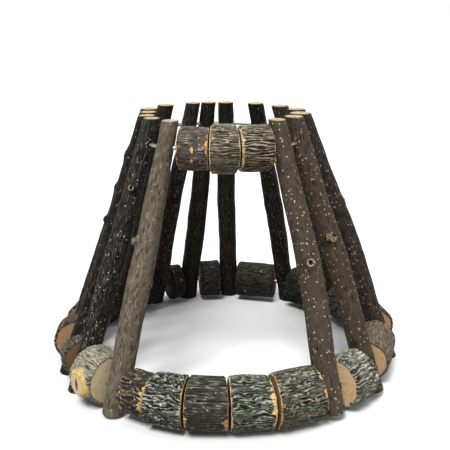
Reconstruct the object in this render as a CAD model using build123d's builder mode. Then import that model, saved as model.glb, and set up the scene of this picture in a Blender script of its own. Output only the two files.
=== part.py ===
"""Small wooden hamster house: leaning branch sticks and log slices strung on two steel wire rings.

Units are millimetres, +Z is up, the doorway faces -Y and the origin is on the floor
at the middle of the ring of sticks. Angles in plan are degrees from the middle of the
doorway, positive towards +X.
"""

from build123d import *

import os
from dataclasses import dataclass
from math import cos, pi, radians, sin, tan

# Overall form
house_height = 130.0
floor_radius = 84.6
rim_radius = 39.6
rim_shift_x = -4.3
rim_shift_y = 1.2

# Wire rings
low_wire_height = 12.9
rim_overhang = 12.0
high_wire_height = house_height - rim_overhang
low_wire_diameter = 2.2
high_wire_diameter = 2.0
wire_bend_radius = 12.0
stick_hole_diameter = 3.6
log_hole_diameter = 3.0
lintel_ring_radius = 39.6

# Fits
end_gap = 0.35
log_chamfer = 0.9
saw_margin = 3.0
cut_overrun = 12.0
crook_shares = (0.25, 0.5, 0.75)


@dataclass(frozen=True)
class Knot:
    """Sawn side branch: height on the stick, facing angle about the stick and its size."""

    height: float
    facing: float
    width: float
    length: float
    pit: float = 0.0


@dataclass(frozen=True)
class Stick:
    """Leaning stick.

    Its plan angles are at the floor and about the middle of the rim, its crook is a
    sideways bow at mid height, its rim inset brings its top inwards, its foot lift is
    how much shorter it is than the sticks that reach the floor, and its bulge is an
    outward bow.
    """

    name: str
    floor_angle: float
    rim_angle: float
    foot_width: float
    middle_width: float
    rim_width: float
    crook: float = 0.0
    rim_inset: float = 0.0
    foot_lift: float = 0.0
    knots: tuple = ()
    bulge: float = 0.0


@dataclass(frozen=True)
class Log:
    """Log slice on a wire: widths at its two ends and middle, and an optional branch stub."""

    name: str
    start_width: float
    middle_width: float
    end_width: float
    knots: tuple = ()


@dataclass(frozen=True)
class Joint:
    """Bend of a wire between two door logs, whose sawn ends face each other across a gap.

    Its plan angle is about the middle of the ring, and its inset is how far the wire is
    pulled in from the ring there.
    """

    angle: float
    inset: float
    gap: float


# Sticks in order from the right side of the doorway round the back to its left side.
sticks = (
    Stick("door_post_right", 35.1, 43.5, 11.0, 11.6, 8.4, 2.2, 0.6, 4.0,
          (Knot(67, 8, 6.4, 0.9, 1.2),)),
    Stick("wall_stick_01", 56.5, 62.9, 10.6, 10.8, 8.6, 1.6, 0.0, 3.0,
          (Knot(76, -4, 4.6, 0.9), Knot(70, 8, 4.0, 0.8))),
    Stick("wall_stick_02", 87.2, 82.5, 11.2, 11.0, 10.2, 1.2, 0.0, 0.0,
          (Knot(84, 70, 4.2, 1.0),), 1.8),
    Stick("wall_stick_03", 107.0, 105.0, 10.4, 10.4, 8.6, -0.8),
    Stick("wall_stick_04", 127.6, 127.5, 10.8, 10.6, 8.8, 0.9, 0.0, 0.0,
          (Knot(60, 150, 4.4, 1.1),)),
    Stick("wall_stick_05", 153.5, 151.5, 10.2, 10.4, 8.2, -1.0),
    Stick("wall_stick_06", 180.0, 176.5, 10.8, 10.8, 8.6, 0.8, 0.0, 0.0,
          (Knot(78, 190, 5.0, 1.0),)),
    Stick("wall_stick_07", 198.8, 190.0, 11.4, 11.2, 8.0, -0.8),
    Stick("wall_stick_08", 214.0, 202.8, 10.4, 10.4, 8.0, 1.0),
    Stick("wall_stick_09", 232.5, 228.0, 10.6, 10.4, 8.4, -1.0, 0.0, 0.0,
          (Knot(52, 225, 4.4, 1.0),)),
    Stick("wall_stick_10", 251.0, 253.0, 10.4, 10.6, 8.6, 0.8, 1.4),
    Stick("wall_stick_11", 269.0, 274.0, 11.0, 10.8, 8.2, -0.8, 4.4, 0.0,
          (Knot(90, 262, 4.0, 0.9),), -0.4),
    Stick("wall_stick_12", 286.7, 293.5, 10.6, 11.0, 7.8, 1.6, 2.0, 0.0,
          (Knot(78, 268, 4.0, 1.6), Knot(110, 275, 5.6, 0.9)), -0.8),
    Stick("wall_stick_13", 300.8, 308.4, 10.2, 10.6, 7.2, 0.6, 0.0, 0.0,
          (Knot(98, 350, 4.4, 1.0), Knot(32, 285, 4.8, 1.2))),
    Stick("door_post_left", 322.1, 326.4, 10.4, 11.4, 7.6, 0.3, 0.0, 1.4,
          (Knot(76, 285, 4.0, 1.3), Knot(59, 62, 4.4, 1.0))),
)

# One log slice between each two neighbouring sticks, in the same order.
wall_logs = (
    Log("wall_log_01", 24.0, 24.4, 24.0),
    Log("wall_log_02", 20.6, 21.2, 20.8),
    Log("wall_log_03", 22.6, 22.2, 21.6),
    Log("wall_log_04", 21.4, 22.0, 21.0),
    Log("wall_log_05", 22.0, 22.8, 22.4),
    Log("wall_log_06", 21.2, 22.0, 21.8),
    Log("wall_log_07", 22.8, 22.2, 22.6),
    Log("wall_log_08", 21.0, 21.6, 21.2),
    Log("wall_log_09", 22.0, 21.4, 21.8),
    Log("wall_log_10", 21.6, 22.4, 22.0),
    Log("wall_log_11", 22.4, 21.8, 22.2),
    Log("wall_log_12", 23.6, 24.2, 24.6),
    Log("wall_log_13", 20.4, 20.8, 20.6),
    Log("wall_log_14", 24.4, 25.0, 24.6, (Knot(0, 90, 14.0, 1.6),)),
)

# Logs of the doorway, from its left post to its right post.
sill_logs = (
    Log("sill_log_1", 20.4, 20.8, 20.2),
    Log("sill_log_2", 23.6, 24.0, 24.4),
    Log("sill_log_3", 24.2, 23.6, 24.0),
    Log("sill_log_4", 24.0, 24.4, 23.8),
    Log("sill_log_5", 24.6, 25.2, 24.8),
)
sill_joints = (
    Joint(-23.9, 0.0, 0.8),
    Joint(-12.1, 0.3, 1.2),
    Joint(0.6, 1.5, 1.2),
    Joint(14.8, 1.1, 1.6),
)

lintel_logs = (
    Log("lintel_log_1", 19.6, 20.0, 19.4),
    Log("lintel_log_2", 21.8, 22.4, 22.0),
    Log("lintel_log_3", 20.6, 21.2, 20.8),
)
lintel_joints = (
    Joint(-5.9, 0.0, 0.8),
    Joint(12.0, 0.0, 1.1),
)


def ring_point(radius, angle, height):
    """Return the point at a plan radius, a plan angle and a height."""
    return Vector(radius * sin(radians(angle)), -radius * cos(radians(angle)), height)


def cone_radius(height):
    """Return the radius of the cone of stick centres at a height."""
    return floor_radius + (rim_radius - floor_radius) * height / house_height


def ring_middle(height):
    """Return the middle of the ring of sticks at a height."""
    return Vector(rim_shift_x, rim_shift_y, house_height) * (height / house_height)


def crossing(stick, height):
    """Return where the straight axis of a stick passes a height."""
    low = ring_point(floor_radius, stick.floor_angle, 0)
    high = ring_middle(house_height) + ring_point(rim_radius - stick.rim_inset, stick.rim_angle, 0)
    return low + (high - low) * (height / house_height)


def stick_side(stick):
    """Return the level direction in which a stick's crook bends it."""
    return Vector(cos(radians(stick.floor_angle)), sin(radians(stick.floor_angle)), 0)


def bow_share(height):
    """Return how much of a stick's bow shows at a height: none at the wires and beyond."""
    share = (height - low_wire_height) / (high_wire_height - low_wire_height)
    if share <= 0 or share >= 1:
        return 0.0
    return sin(pi * share) ** 2


def stick_middle(stick, height):
    """Return the middle of a stick at a height, its crook and bulge included."""
    bow = stick_side(stick) * stick.crook + ring_point(1, stick.floor_angle, 0) * stick.bulge
    return crossing(stick, height) + bow * bow_share(height)


def stick_direction(stick):
    """Return the unit direction of a stick, pointing up."""
    return (crossing(stick, house_height) - crossing(stick, 0)).normalized()


def stick_radius(stick, height):
    """Return the radius of a stick at a height, straight between its three widths."""
    middle = house_height / 2
    if height < middle:
        width = stick.foot_width + (stick.middle_width - stick.foot_width) * height / middle
    else:
        share = (height - middle) / middle
        width = stick.middle_width + (stick.rim_width - stick.middle_width) * share
    return width / 2


def half_turn(before, corner, after):
    """Return half the angle, in degrees, by which a wire turns at a corner."""
    return (corner - before).get_angle(after - corner) / 2


def wire_corners(height, door_points):
    """Return the corners of a wire ring: one in each stick and one at each joint of door logs."""
    corners = [crossing(stick, height) for stick in sticks]
    return corners + door_points


def make_wire(name, corners, diameter):
    """Return a closed wire ring that runs straight from corner to corner."""
    closed = [*corners, corners[0]]
    with BuildPart() as wire:
        with BuildLine() as route:
            FilletPolyline(*corners, radius=wire_bend_radius, close=True)
        run = closed[1] - closed[0]
        start = (closed[0] + closed[1]) / 2
        with BuildSketch(Plane(origin=start, z_dir=run)):
            Circle(diameter / 2)
        sweep(path=route.wires()[0])
    wire.part.label = name
    return wire.part


def bore_plane(stick, corners, index, height):
    """Return the plane of a wire's hole through a stick, centred on the bend of the wire."""
    corner = corners[index]
    before = corners[index - 1]
    after = corners[(index + 1) % len(corners)]
    inward = ((before - corner).normalized() + (after - corner).normalized()).normalized()
    turn = radians(half_turn(before, corner, after))
    cut = wire_bend_radius * (1 / cos(turn) - 1)
    mouth = stick_radius(stick, height) * tan(turn)
    return Plane(origin=corner + inward * (cut + mouth) / 2, z_dir=after - before)


def make_stick(stick, bores):
    """Return a leaning stick, cut level at the floor and the rim, with its two wire holes."""
    up = stick_direction(stick)
    span = high_wire_height - low_wire_height
    heights = [
        -cut_overrun,
        low_wire_height,
        *(low_wire_height + span * share for share in crook_shares),
        high_wire_height,
        house_height + cut_overrun,
    ]
    with BuildPart() as body:
        for height in heights:
            with BuildSketch(Plane(origin=stick_middle(stick, height), z_dir=up)):
                Circle(stick_radius(stick, height))
        loft()
        for knot in stick.knots:
            root = stick_middle(stick, knot.height)
            facing = ring_point(1, knot.facing, 0)
            facing = (facing - up * facing.dot(up)).normalized()
            reach = stick_radius(stick, knot.height) + knot.length
            with BuildSketch(Plane(origin=root, z_dir=facing)):
                Circle(knot.width / 2)
            extrude(amount=reach)
            if knot.pit:
                with BuildSketch(Plane(origin=root + facing * reach, z_dir=facing)):
                    Circle(knot.width / 2 - knot.pit)
                extrude(amount=-knot.pit, mode=Mode.SUBTRACT)
        split(bisect_by=Plane.XY.offset(stick.foot_lift), keep=Keep.TOP)
        split(bisect_by=Plane.XY.offset(house_height), keep=Keep.BOTTOM)
        for bore in bores:
            with BuildSketch(bore):
                Circle(stick_hole_diameter / 2)
            extrude(amount=2 * stick.middle_width, both=True, mode=Mode.SUBTRACT)
    body.part.label = stick.name
    return body.part


def make_log(log, start, end):
    """Return a log slice between two sawn ends, bored along the wire run.

    Each end is the point where it crosses the wire and the direction that it is square to.
    """
    first, first_facing = start
    last, last_facing = end
    run = last - first
    half = run.length / 2
    blank = half + saw_margin
    log_plane = Plane(origin=(first + last) / 2, x_dir=(0, 0, 1), z_dir=run)
    section_plane = Plane(origin=log_plane.origin, x_dir=(0, 0, 1), z_dir=log_plane.y_dir)
    with BuildPart() as body:
        with BuildSketch(section_plane):
            with BuildLine():
                start_corner = (log.start_width / 2, blank)
                end_corner = (log.end_width / 2, -blank)
                waist = log.middle_width - (log.start_width + log.end_width) / 4
                Bezier(start_corner, (waist, 0), end_corner)
                Polyline(end_corner, (0, -blank), (0, blank), start_corner)
            make_face()
        revolve(axis=Axis(log_plane.origin, run))
        split(bisect_by=Plane(origin=first, z_dir=first_facing), keep=Keep.TOP)
        split(bisect_by=Plane(origin=last, z_dir=last_facing), keep=Keep.BOTTOM)
        chamfer(body.faces().filter_by(GeomType.PLANE).edges(), length=log_chamfer)
        for knot in log.knots:
            turn = radians(knot.facing)
            facing = log_plane.x_dir * cos(turn) + log_plane.y_dir * sin(turn)
            with BuildSketch(Plane(origin=log_plane.origin, z_dir=facing)):
                Circle(knot.width / 2)
            extrude(amount=log.middle_width / 2 + knot.length)
        with BuildSketch(log_plane):
            Circle(log_hole_diameter / 2)
        extrude(amount=blank, both=True, mode=Mode.SUBTRACT)
    body.part.label = log.name
    return body.part


def square_end(stick, corner, run, log, height):
    """Return a log's end beside a stick, sawn square to the wire run that leaves the stick."""
    up = stick_direction(stick)
    lean = abs(up.dot(run)) / up.Z * widest(log) / 2
    thick = max(stick.foot_width, 2 * stick_radius(stick, height)) / 2
    return corner + run * (thick + lean + end_gap), run


def slanted_end(before, corner, after, gap, side):
    """Return a log's end at a joint, sawn along the plane that halves the wire's bend.

    The side is 1 for the log that follows the joint and -1 for the one before it.
    """
    run_before = (corner - before).normalized()
    run_after = (after - corner).normalized()
    facing = (run_before + run_after).normalized()
    run = run_after if side > 0 else run_before
    return corner + run * side * gap / 2 / run.dot(facing), facing


def widest(log):
    """Return the largest width of a log slice."""
    return max(log.start_width, log.middle_width, log.end_width)


def place_wall_logs(corners):
    """Return the log slices that fill the lower wire between neighbouring sticks."""
    placed = []
    for index, log in enumerate(wall_logs):
        run = (corners[index + 1] - corners[index]).normalized()
        start = square_end(sticks[index], corners[index], run, log, low_wire_height)
        point, facing = square_end(
            sticks[index + 1], corners[index + 1], -run, log, low_wire_height)
        placed.append(make_log(log, start, (point, -facing)))
    return placed


def place_door_logs(logs, joints, corners, height):
    """Return the log slices strung across the doorway, from the left post to the right post."""
    route = [corners[len(sticks) - 1], *corners[len(sticks):], corners[0]]
    placed = []
    for index, log in enumerate(logs):
        before, after = route[index], route[index + 1]
        run = (after - before).normalized()
        if index == 0:
            start = square_end(sticks[-1], before, run, log, height)
        else:
            start = slanted_end(route[index - 1], before, after, joints[index - 1].gap, 1)
        if index == len(logs) - 1:
            point, facing = square_end(sticks[0], after, -run, log, height)
            end = (point, -facing)
        else:
            end = slanted_end(before, after, route[index + 2], joints[index].gap, -1)
        placed.append(make_log(log, start, end))
        print(log.name, "turns about", (before + after) / 2, "along", run)
    return placed


def joint_points(middle, radius, joints):
    """Return where a wire bends between door logs."""
    return [middle + ring_point(radius - joint.inset, joint.angle, 0) for joint in joints]


low_radius = cone_radius(low_wire_height)
low_middle = ring_middle(low_wire_height)
high_middle = ring_middle(high_wire_height)
low_joints = joint_points(low_middle, low_radius, sill_joints)
high_joints = joint_points(high_middle, lintel_ring_radius, lintel_joints)
low_corners = wire_corners(low_wire_height, low_joints)
high_corners = wire_corners(high_wire_height, high_joints)

pieces = [
    make_wire("lower_wire", low_corners, low_wire_diameter),
    make_wire("upper_wire", high_corners, high_wire_diameter),
]
for index, stick in enumerate(sticks):
    bores = (
        bore_plane(stick, low_corners, index, low_wire_height),
        bore_plane(stick, high_corners, index, high_wire_height),
    )
    pieces.append(make_stick(stick, bores))
pieces += place_wall_logs(low_corners)
pieces += place_door_logs(sill_logs, sill_joints, low_corners, low_wire_height)
pieces += place_door_logs(lintel_logs, lintel_joints, high_corners, high_wire_height)

os.makedirs("parts", exist_ok=True)
for piece in pieces:
    export_step(piece, f"parts/{piece.label}.step")
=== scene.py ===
"""Dresses the small wooden hamster house: bark, sawn ends, torn fibre and wire.

Leaning branch sticks stand in a ring, with a log slice between each two of them, and both
are strung on two wire rings. The doorway has a sill and a lintel of loose log slices.
Carving works in millimetres, and Blender's objects are in metres.
"""

import logging
import math
from collections.abc import Callable, Iterable
from dataclasses import dataclass, field, replace
from enum import Enum

import bmesh
import bpy
import numpy as np
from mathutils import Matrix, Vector

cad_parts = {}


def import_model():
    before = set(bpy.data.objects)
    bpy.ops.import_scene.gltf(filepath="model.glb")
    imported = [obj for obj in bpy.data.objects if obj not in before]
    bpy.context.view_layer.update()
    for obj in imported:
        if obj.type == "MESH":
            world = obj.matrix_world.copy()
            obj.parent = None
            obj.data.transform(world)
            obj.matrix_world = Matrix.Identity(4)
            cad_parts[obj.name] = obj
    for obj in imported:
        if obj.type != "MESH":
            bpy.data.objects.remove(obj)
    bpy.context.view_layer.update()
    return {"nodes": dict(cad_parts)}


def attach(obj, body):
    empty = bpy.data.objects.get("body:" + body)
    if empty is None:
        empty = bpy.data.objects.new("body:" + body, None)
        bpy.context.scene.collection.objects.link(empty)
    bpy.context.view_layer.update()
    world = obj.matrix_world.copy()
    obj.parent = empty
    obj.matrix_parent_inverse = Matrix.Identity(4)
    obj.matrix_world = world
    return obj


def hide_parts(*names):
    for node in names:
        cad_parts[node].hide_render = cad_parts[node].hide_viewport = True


LOG = logging.getLogger("hamster_house")
ROOT_BODY = "stick_frame"
MM = 0.001
TURN = 2.0 * np.pi
UP = np.array([0.0, 0.0, 1.0])
SMOOTH_ANGLE = math.radians(50.0)
# Radius share of a blank's vertex from which it lies on the side, not on a sawn end.
SIDE_SHARE = 0.995
# Half width of a branch stub, in millimetres, from which it shows its pith and torn fringe.
BIG_STUB = 5.0
# Offsets from a piece's seed to the seeds of its pores, its knots and its wire holes.
PORE_SEED, KNOT_SEED, BORE_SEED = 12, 60, 70
# Numbers that scramble a cell's indices into its repeatable random number.
PRIMES = np.array([374761393, 668265263, 2246822519], dtype=np.uint64)
WORD = np.uint64(0xFFFFFFFF)
# Near-black painted into bark cracks and round stubs: painted shade deep in the cracks.
CRACK_SHADE = (0.004, 0.0035, 0.003)
# Colour of the shade mask: painted shade in wire holes, bores, hollow knots and end checks, and
# the own dark colour of a big stub's pith.
HOLE_DARK = (0.012, 0.008, 0.005)
WHITE = (1.0, 1.0, 1.0)
Socket = bpy.types.NodeSocket
Value = bpy.types.NodeSocket | float | tuple


# --- values for named options ---


class KnotKind(Enum):
    """What is left where a side branch grew; a scar is a torn patch without a stub."""

    SAWN = "sawn"
    HOLLOW = "hollow"
    HEALED = "healed"
    SCAR = "scar"


class LogEnd(Enum):
    """The two ends of a log slice, in the order in which it is threaded on the wire."""

    FIRST = 0
    LAST = 1


class Strand(Enum):
    """The two wire rings, by the names of their solids."""

    LOWER = "lower_wire"
    UPPER = "upper_wire"


class Grain(Enum):
    """A piece's noises: offset from its seed, and size across and along, in millimetres."""

    SWELL = (6, 8.0, 16.0)
    COVER = (7, 5.0, 8.0)
    DASHES = (10, 0.9, 2.6)
    STICK_LUMPS = (11, 9.0, 30.0)
    STICK_CHIPS = (13, 1.6, 9.0)
    STICK_EDGE = (15, 1.2, 4.0)
    LOG_LUMPS = (11, 12.0, 40.0)
    LOG_EDGE = (15, 3.0, 6.0)
    LOG_RIM = (16, 3.2, 30.0)
    TEAR = (20, 2.6, 5.0)
    TEAR_FRINGE = (25, 0.9, 1.6)


# --- smooth noise and directions ---


def ease(low: float, high: float, value: np.ndarray) -> np.ndarray:
    """Ramp smoothly from 0 to 1.

    Args:
        low: Value at which the ramp is 0.
        high: Value at which the ramp is 1; it may be below low.
        value: Values to ramp.

    Returns:
        The ramped values.
    """
    share = np.clip((value - low) / (high - low), 0.0, 1.0)
    return share * share * (3.0 - 2.0 * share)


def cell_hash(cells: np.ndarray, seed: int) -> np.ndarray:
    """Give each whole-number cell a repeatable scrambled number.

    Args:
        cells: Cell indices, one row of three for each point.
        seed: Which set of numbers to use.

    Returns:
        One unsigned 32-bit number for each point.
    """
    mixed = (cells.astype(np.int64).astype(np.uint64) * PRIMES).sum(axis=1)
    mixed = (mixed + np.uint64(seed * 974711 + 1013)) & WORD
    for shift, prime in ((15, 2246822519), (13, 3266489917)):
        mixed = ((mixed ^ (mixed >> np.uint64(shift))) * np.uint64(prime)) & WORD
    return mixed ^ (mixed >> np.uint64(16))


def noise(place: np.ndarray, seed: int) -> np.ndarray:
    """Smooth gradient noise in space.

    Args:
        place: Points, in units of the noise's grain.
        seed: Which noise to use.

    Returns:
        One value for each point, about -1 to 1.
    """
    base = np.floor(place)
    part = place - base
    fade = part**3 * (part * (part * 6.0 - 15.0) + 10.0)
    total = np.zeros(len(place))
    for corner in np.ndindex(2, 2, 2):
        step = np.array(corner, dtype=float)
        code = cell_hash(base + step, seed)
        slope = np.stack(
            [((code >> np.uint64(shift)) & np.uint64(1023)).astype(float) / 511.5 - 1.0
             for shift in (0, 10, 20)], axis=1)
        weight = np.prod(np.where(step > 0.5, fade, 1.0 - fade), axis=1)
        total += weight * ((part - step) * slope).sum(axis=1)
    return total * 1.5


def grained(rod: np.ndarray, grain: Grain, seed: int, layers: int = 1) -> np.ndarray:
    """Give one of a piece's named noises.

    Args:
        rod: Points in millimetres, whose third coordinate runs lengthwise.
        grain: Which noise.
        seed: The piece's seed.
        layers: How many layers to add, each at twice the detail and half the strength.

    Returns:
        One value for each point, about -1 to 1.
    """
    offset, across, along = grain.value
    place = rod / (across, across, along)
    total = np.zeros(len(rod))
    for layer in range(layers):
        total += noise(place * 2.0**layer, seed + offset + 31 * layer) * 0.5**layer
    return total


def furrows(
    around: np.ndarray, rod: np.ndarray, ribs: int, waver: float, long: float, seed: int
) -> tuple[np.ndarray, np.ndarray]:
    """Lay wavy lengthwise furrows around a branch.

    Args:
        around: Angle of each point about the branch, in radians.
        rod: Points in millimetres, whose third coordinate runs lengthwise.
        ribs: How many ribs there are around the branch.
        waver: How far the furrows wave, in rib widths.
        long: Usual length of a wave.
        seed: Which furrows to lay.

    Returns:
        How far each point is from a furrow's middle, in rib widths up to a half, and how strong
        that furrow is, 0 to 1.
    """
    warp = waver * (noise(rod / (3.4, 3.4, long), seed)
                    + 0.5 * noise(rod / (1.4, 1.4, long * 0.45), seed + 1))
    turns = ribs * around / TURN + warp
    cells = np.zeros((len(rod), 3))
    cells[:, 0] = np.floor(turns) % ribs
    strength = (cell_hash(cells, seed + 2) & np.uint64(255)).astype(float) / 255.0
    return np.abs(turns % 1.0 - 0.5), strength


def wrapped(angle: np.ndarray) -> np.ndarray:
    """Bring angles in radians to between minus and plus half a turn."""
    return (angle + np.pi) % TURN - np.pi


def unit(way: np.ndarray) -> np.ndarray:
    """Return a vector's direction, with length 1."""
    return way / np.linalg.norm(way)


def squared(way: np.ndarray, axis: np.ndarray) -> np.ndarray:
    """Return the direction nearest to a way that is square to an axis."""
    return unit(way - axis * way.dot(axis))


def level_way(angle: float, reach: float = 1.0) -> np.ndarray:
    """Return the level vector at a plan angle in degrees; 0 points out of the doorway."""
    turn = math.radians(angle)
    return np.array([reach * math.sin(turn), -reach * math.cos(turn), 0.0])


# --- what bark and cut ends are like ---


@dataclass(frozen=True)
class BarkRelief:
    """Shape of a bark, in millimetres; shares are 0 to 1 and of a rib's width."""

    swell: float = 0.3
    rib_width: float = 1.3
    wave_length: float = 7.0
    furrow_depth: float = 0.2
    furrow_share: float = 0.1
    shoulder: float = 0.32
    cover: float = 0.6
    waver: float = 0.9
    net: float = 0.0
    breaks: float = 0.3
    cross_share: float = 0.0
    grain_depth: float = 0.06
    grain_width: float = 0.8
    grain_length: float = 5.0
    fleck_count: int = 40
    fleck_size: float = 0.4
    fleck_stretch: float = 0.8


@dataclass(frozen=True)
class BarkFinish:
    """Colours of a bark and of the wood under it, and how much grain and pores show."""

    name: str
    slot: str
    base: tuple[float, float, float]
    # deep and ridge: partly the bark's own tones, partly painted shade in the furrows and painted
    # highlight on the rib crests.
    deep: tuple[float, float, float]
    ridge: tuple[float, float, float]
    patch: tuple[float, float, float]
    fleck: tuple[float, float, float] = (0.42, 0.36, 0.27)
    torn: tuple[float, float, float] = (0.50, 0.31, 0.14)
    wood: tuple[float, float, float] = (0.58, 0.46, 0.30)
    ring: tuple[float, float, float] = (0.40, 0.29, 0.16)
    heart: tuple[float, float, float] = (0.16, 0.09, 0.045)
    stub: tuple[float, float, float] = (0.42, 0.35, 0.25)
    grain: float = 1.0
    pores: float = 0.3


@dataclass(frozen=True)
class Knot:
    """Side branch's remains: height, facing angle in degrees, width, length and kind.

    On a stick the height is above the floor, and the facing is a plan angle. On a log the
    height is the distance from its middle along the wire, and the facing is 0 straight up
    and 90 straight out. A scar is as wide as its width and twice as long as its length.
    """

    height: float
    facing: float
    width: float
    length: float
    kind: KnotKind = KnotKind.SAWN


@dataclass(frozen=True)
class Seat:
    """Where a knot sits: point on the piece's axis, way out, axis direction and radius."""

    root: np.ndarray
    facing: np.ndarray
    axis: np.ndarray
    radius: float


@dataclass(frozen=True)
class Bore:
    """Wire hole through a stick: its middle and the two ways in which the wire leaves it."""

    middle: np.ndarray
    ways: tuple[np.ndarray, np.ndarray]


@dataclass(frozen=True)
class Tear:
    """Patch at a log's end where the bark is torn off: facing, half spread and reach.

    The facing and the half spread are in degrees, with 0 straight out and 90 straight up.
    """

    end: LogEnd
    facing: float
    spread: float
    reach: float


@dataclass
class Carving:
    """Working arrays of a piece under the knife, in millimetres, and its masks."""

    place: np.ndarray
    side: np.ndarray
    relief: np.ndarray
    crack: np.ndarray
    fleck: np.ndarray
    bare: np.ndarray
    grain: np.ndarray
    torn: np.ndarray
    shade: np.ndarray
    stub: np.ndarray

    def mark(self, name: str, mask: np.ndarray) -> None:
        """Raise one of the masks to at least the given values."""
        setattr(self, name, np.maximum(getattr(self, name), mask))


def scatter_flecks(
    around: np.ndarray, along: np.ndarray, radius: np.ndarray, relief: BarkRelief, seed: int
) -> np.ndarray:
    """Scatter the small pale pores of a bark.

    Args:
        around: Angle of each point about the piece, in radians.
        along: Distance of each point along the piece.
        radius: Radius of the piece at each point.
        relief: The bark.
        seed: Which scatter to use.

    Returns:
        A mask, 1 on the pores.
    """
    maker = np.random.default_rng(seed)
    mask = np.zeros(len(around))
    low, high = float(along.min()), float(along.max())
    for _ in range(relief.fleck_count):
        turn = maker.uniform(-np.pi, np.pi)
        spot = maker.uniform(low, high)
        size = relief.fleck_size * maker.uniform(0.55, 1.45)
        stretch = relief.fleck_stretch * maker.uniform(0.7, 1.4)
        side = wrapped(around - turn) * radius / size
        rise = (along - spot) / (size * stretch)
        gap = np.sqrt(side**2 + rise**2)
        mask = np.maximum(mask, (1.0 - ease(0.6, 1.1, gap)) * maker.uniform(0.5, 1.0))
    return mask


def grow_bark(
    rod: np.ndarray, relief: BarkRelief, seed: int
) -> tuple[np.ndarray, np.ndarray, np.ndarray]:
    """Work out a bark's height at points on a straight rod.

    Args:
        rod: Points on the rod, whose axis is the third coordinate.
        relief: The bark.
        seed: Which bark to grow.

    Returns:
        Height over the mean surface, ridge mask and crack mask.
    """
    around = np.arctan2(rod[:, 1], rod[:, 0])
    girth = TURN * float(np.hypot(rod[:, 0], rod[:, 1]).max())
    cover = np.clip(relief.cover + 0.8 * grained(rod, Grain.COVER, seed), 0.0, 1.0)
    dashes = ease(-0.12, 0.16, grained(rod, Grain.DASHES, seed))
    cover = cover * (1.0 - relief.breaks * (1.0 - dashes))
    valley, crack, crest = np.zeros((3, len(rod)))
    share = relief.furrow_share
    for layer, (wide, waver, weight) in enumerate((
            (relief.rib_width, relief.waver, 1.0),
            (relief.rib_width * 1.7, relief.waver * 1.5, relief.net))):
        if weight <= 0.0:
            continue
        gap, strength = furrows(around, rod, max(3, round(girth / wide)), waver,
                                relief.wave_length, seed + 20 + 10 * layer)
        power = weight * cover * (0.5 + 0.5 * strength)
        valley = np.maximum(valley, power * (1.0 - ease(share, relief.shoulder, gap)))
        crack = np.maximum(crack, power * (1.0 - ease(share * 0.5, share * 1.5, gap)))
        crest = np.maximum(crest, weight * ease(0.2, 0.5, gap))
    if relief.cross_share > 0.0:
        cross = np.abs(noise(rod / (relief.rib_width * 1.5), seed + 9))
        cut = relief.cross_share * cover * (1.0 - ease(0.02, 0.12, cross))
        valley, crack = np.maximum(valley, cut), np.maximum(crack, cut * 0.9)
    grain = noise(
        rod / (relief.grain_width, relief.grain_width, relief.grain_length), seed + 4)
    tone = noise(rod / (relief.rib_width * 1.6, relief.rib_width * 1.6, 3.5), seed + 8)
    # The ridge mask is paler on rib crests and darker in furrows: partly the bark's own tone,
    # partly painted highlight on the crests and painted shade in the furrows.
    lively = 0.6 + 0.6 * cover
    ridge = (0.4 + cover * (0.58 * crest - 0.62 * valley)
             + lively * (0.32 * tone + 0.28 * grain))
    height = (relief.swell * grained(rod, Grain.SWELL, seed, 2)
              - relief.furrow_depth * valley + relief.grain_depth * grain * (1.0 - valley))
    return height, np.clip(ridge, 0.0, 1.0), np.clip(crack, 0.0, 1.0)


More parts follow.
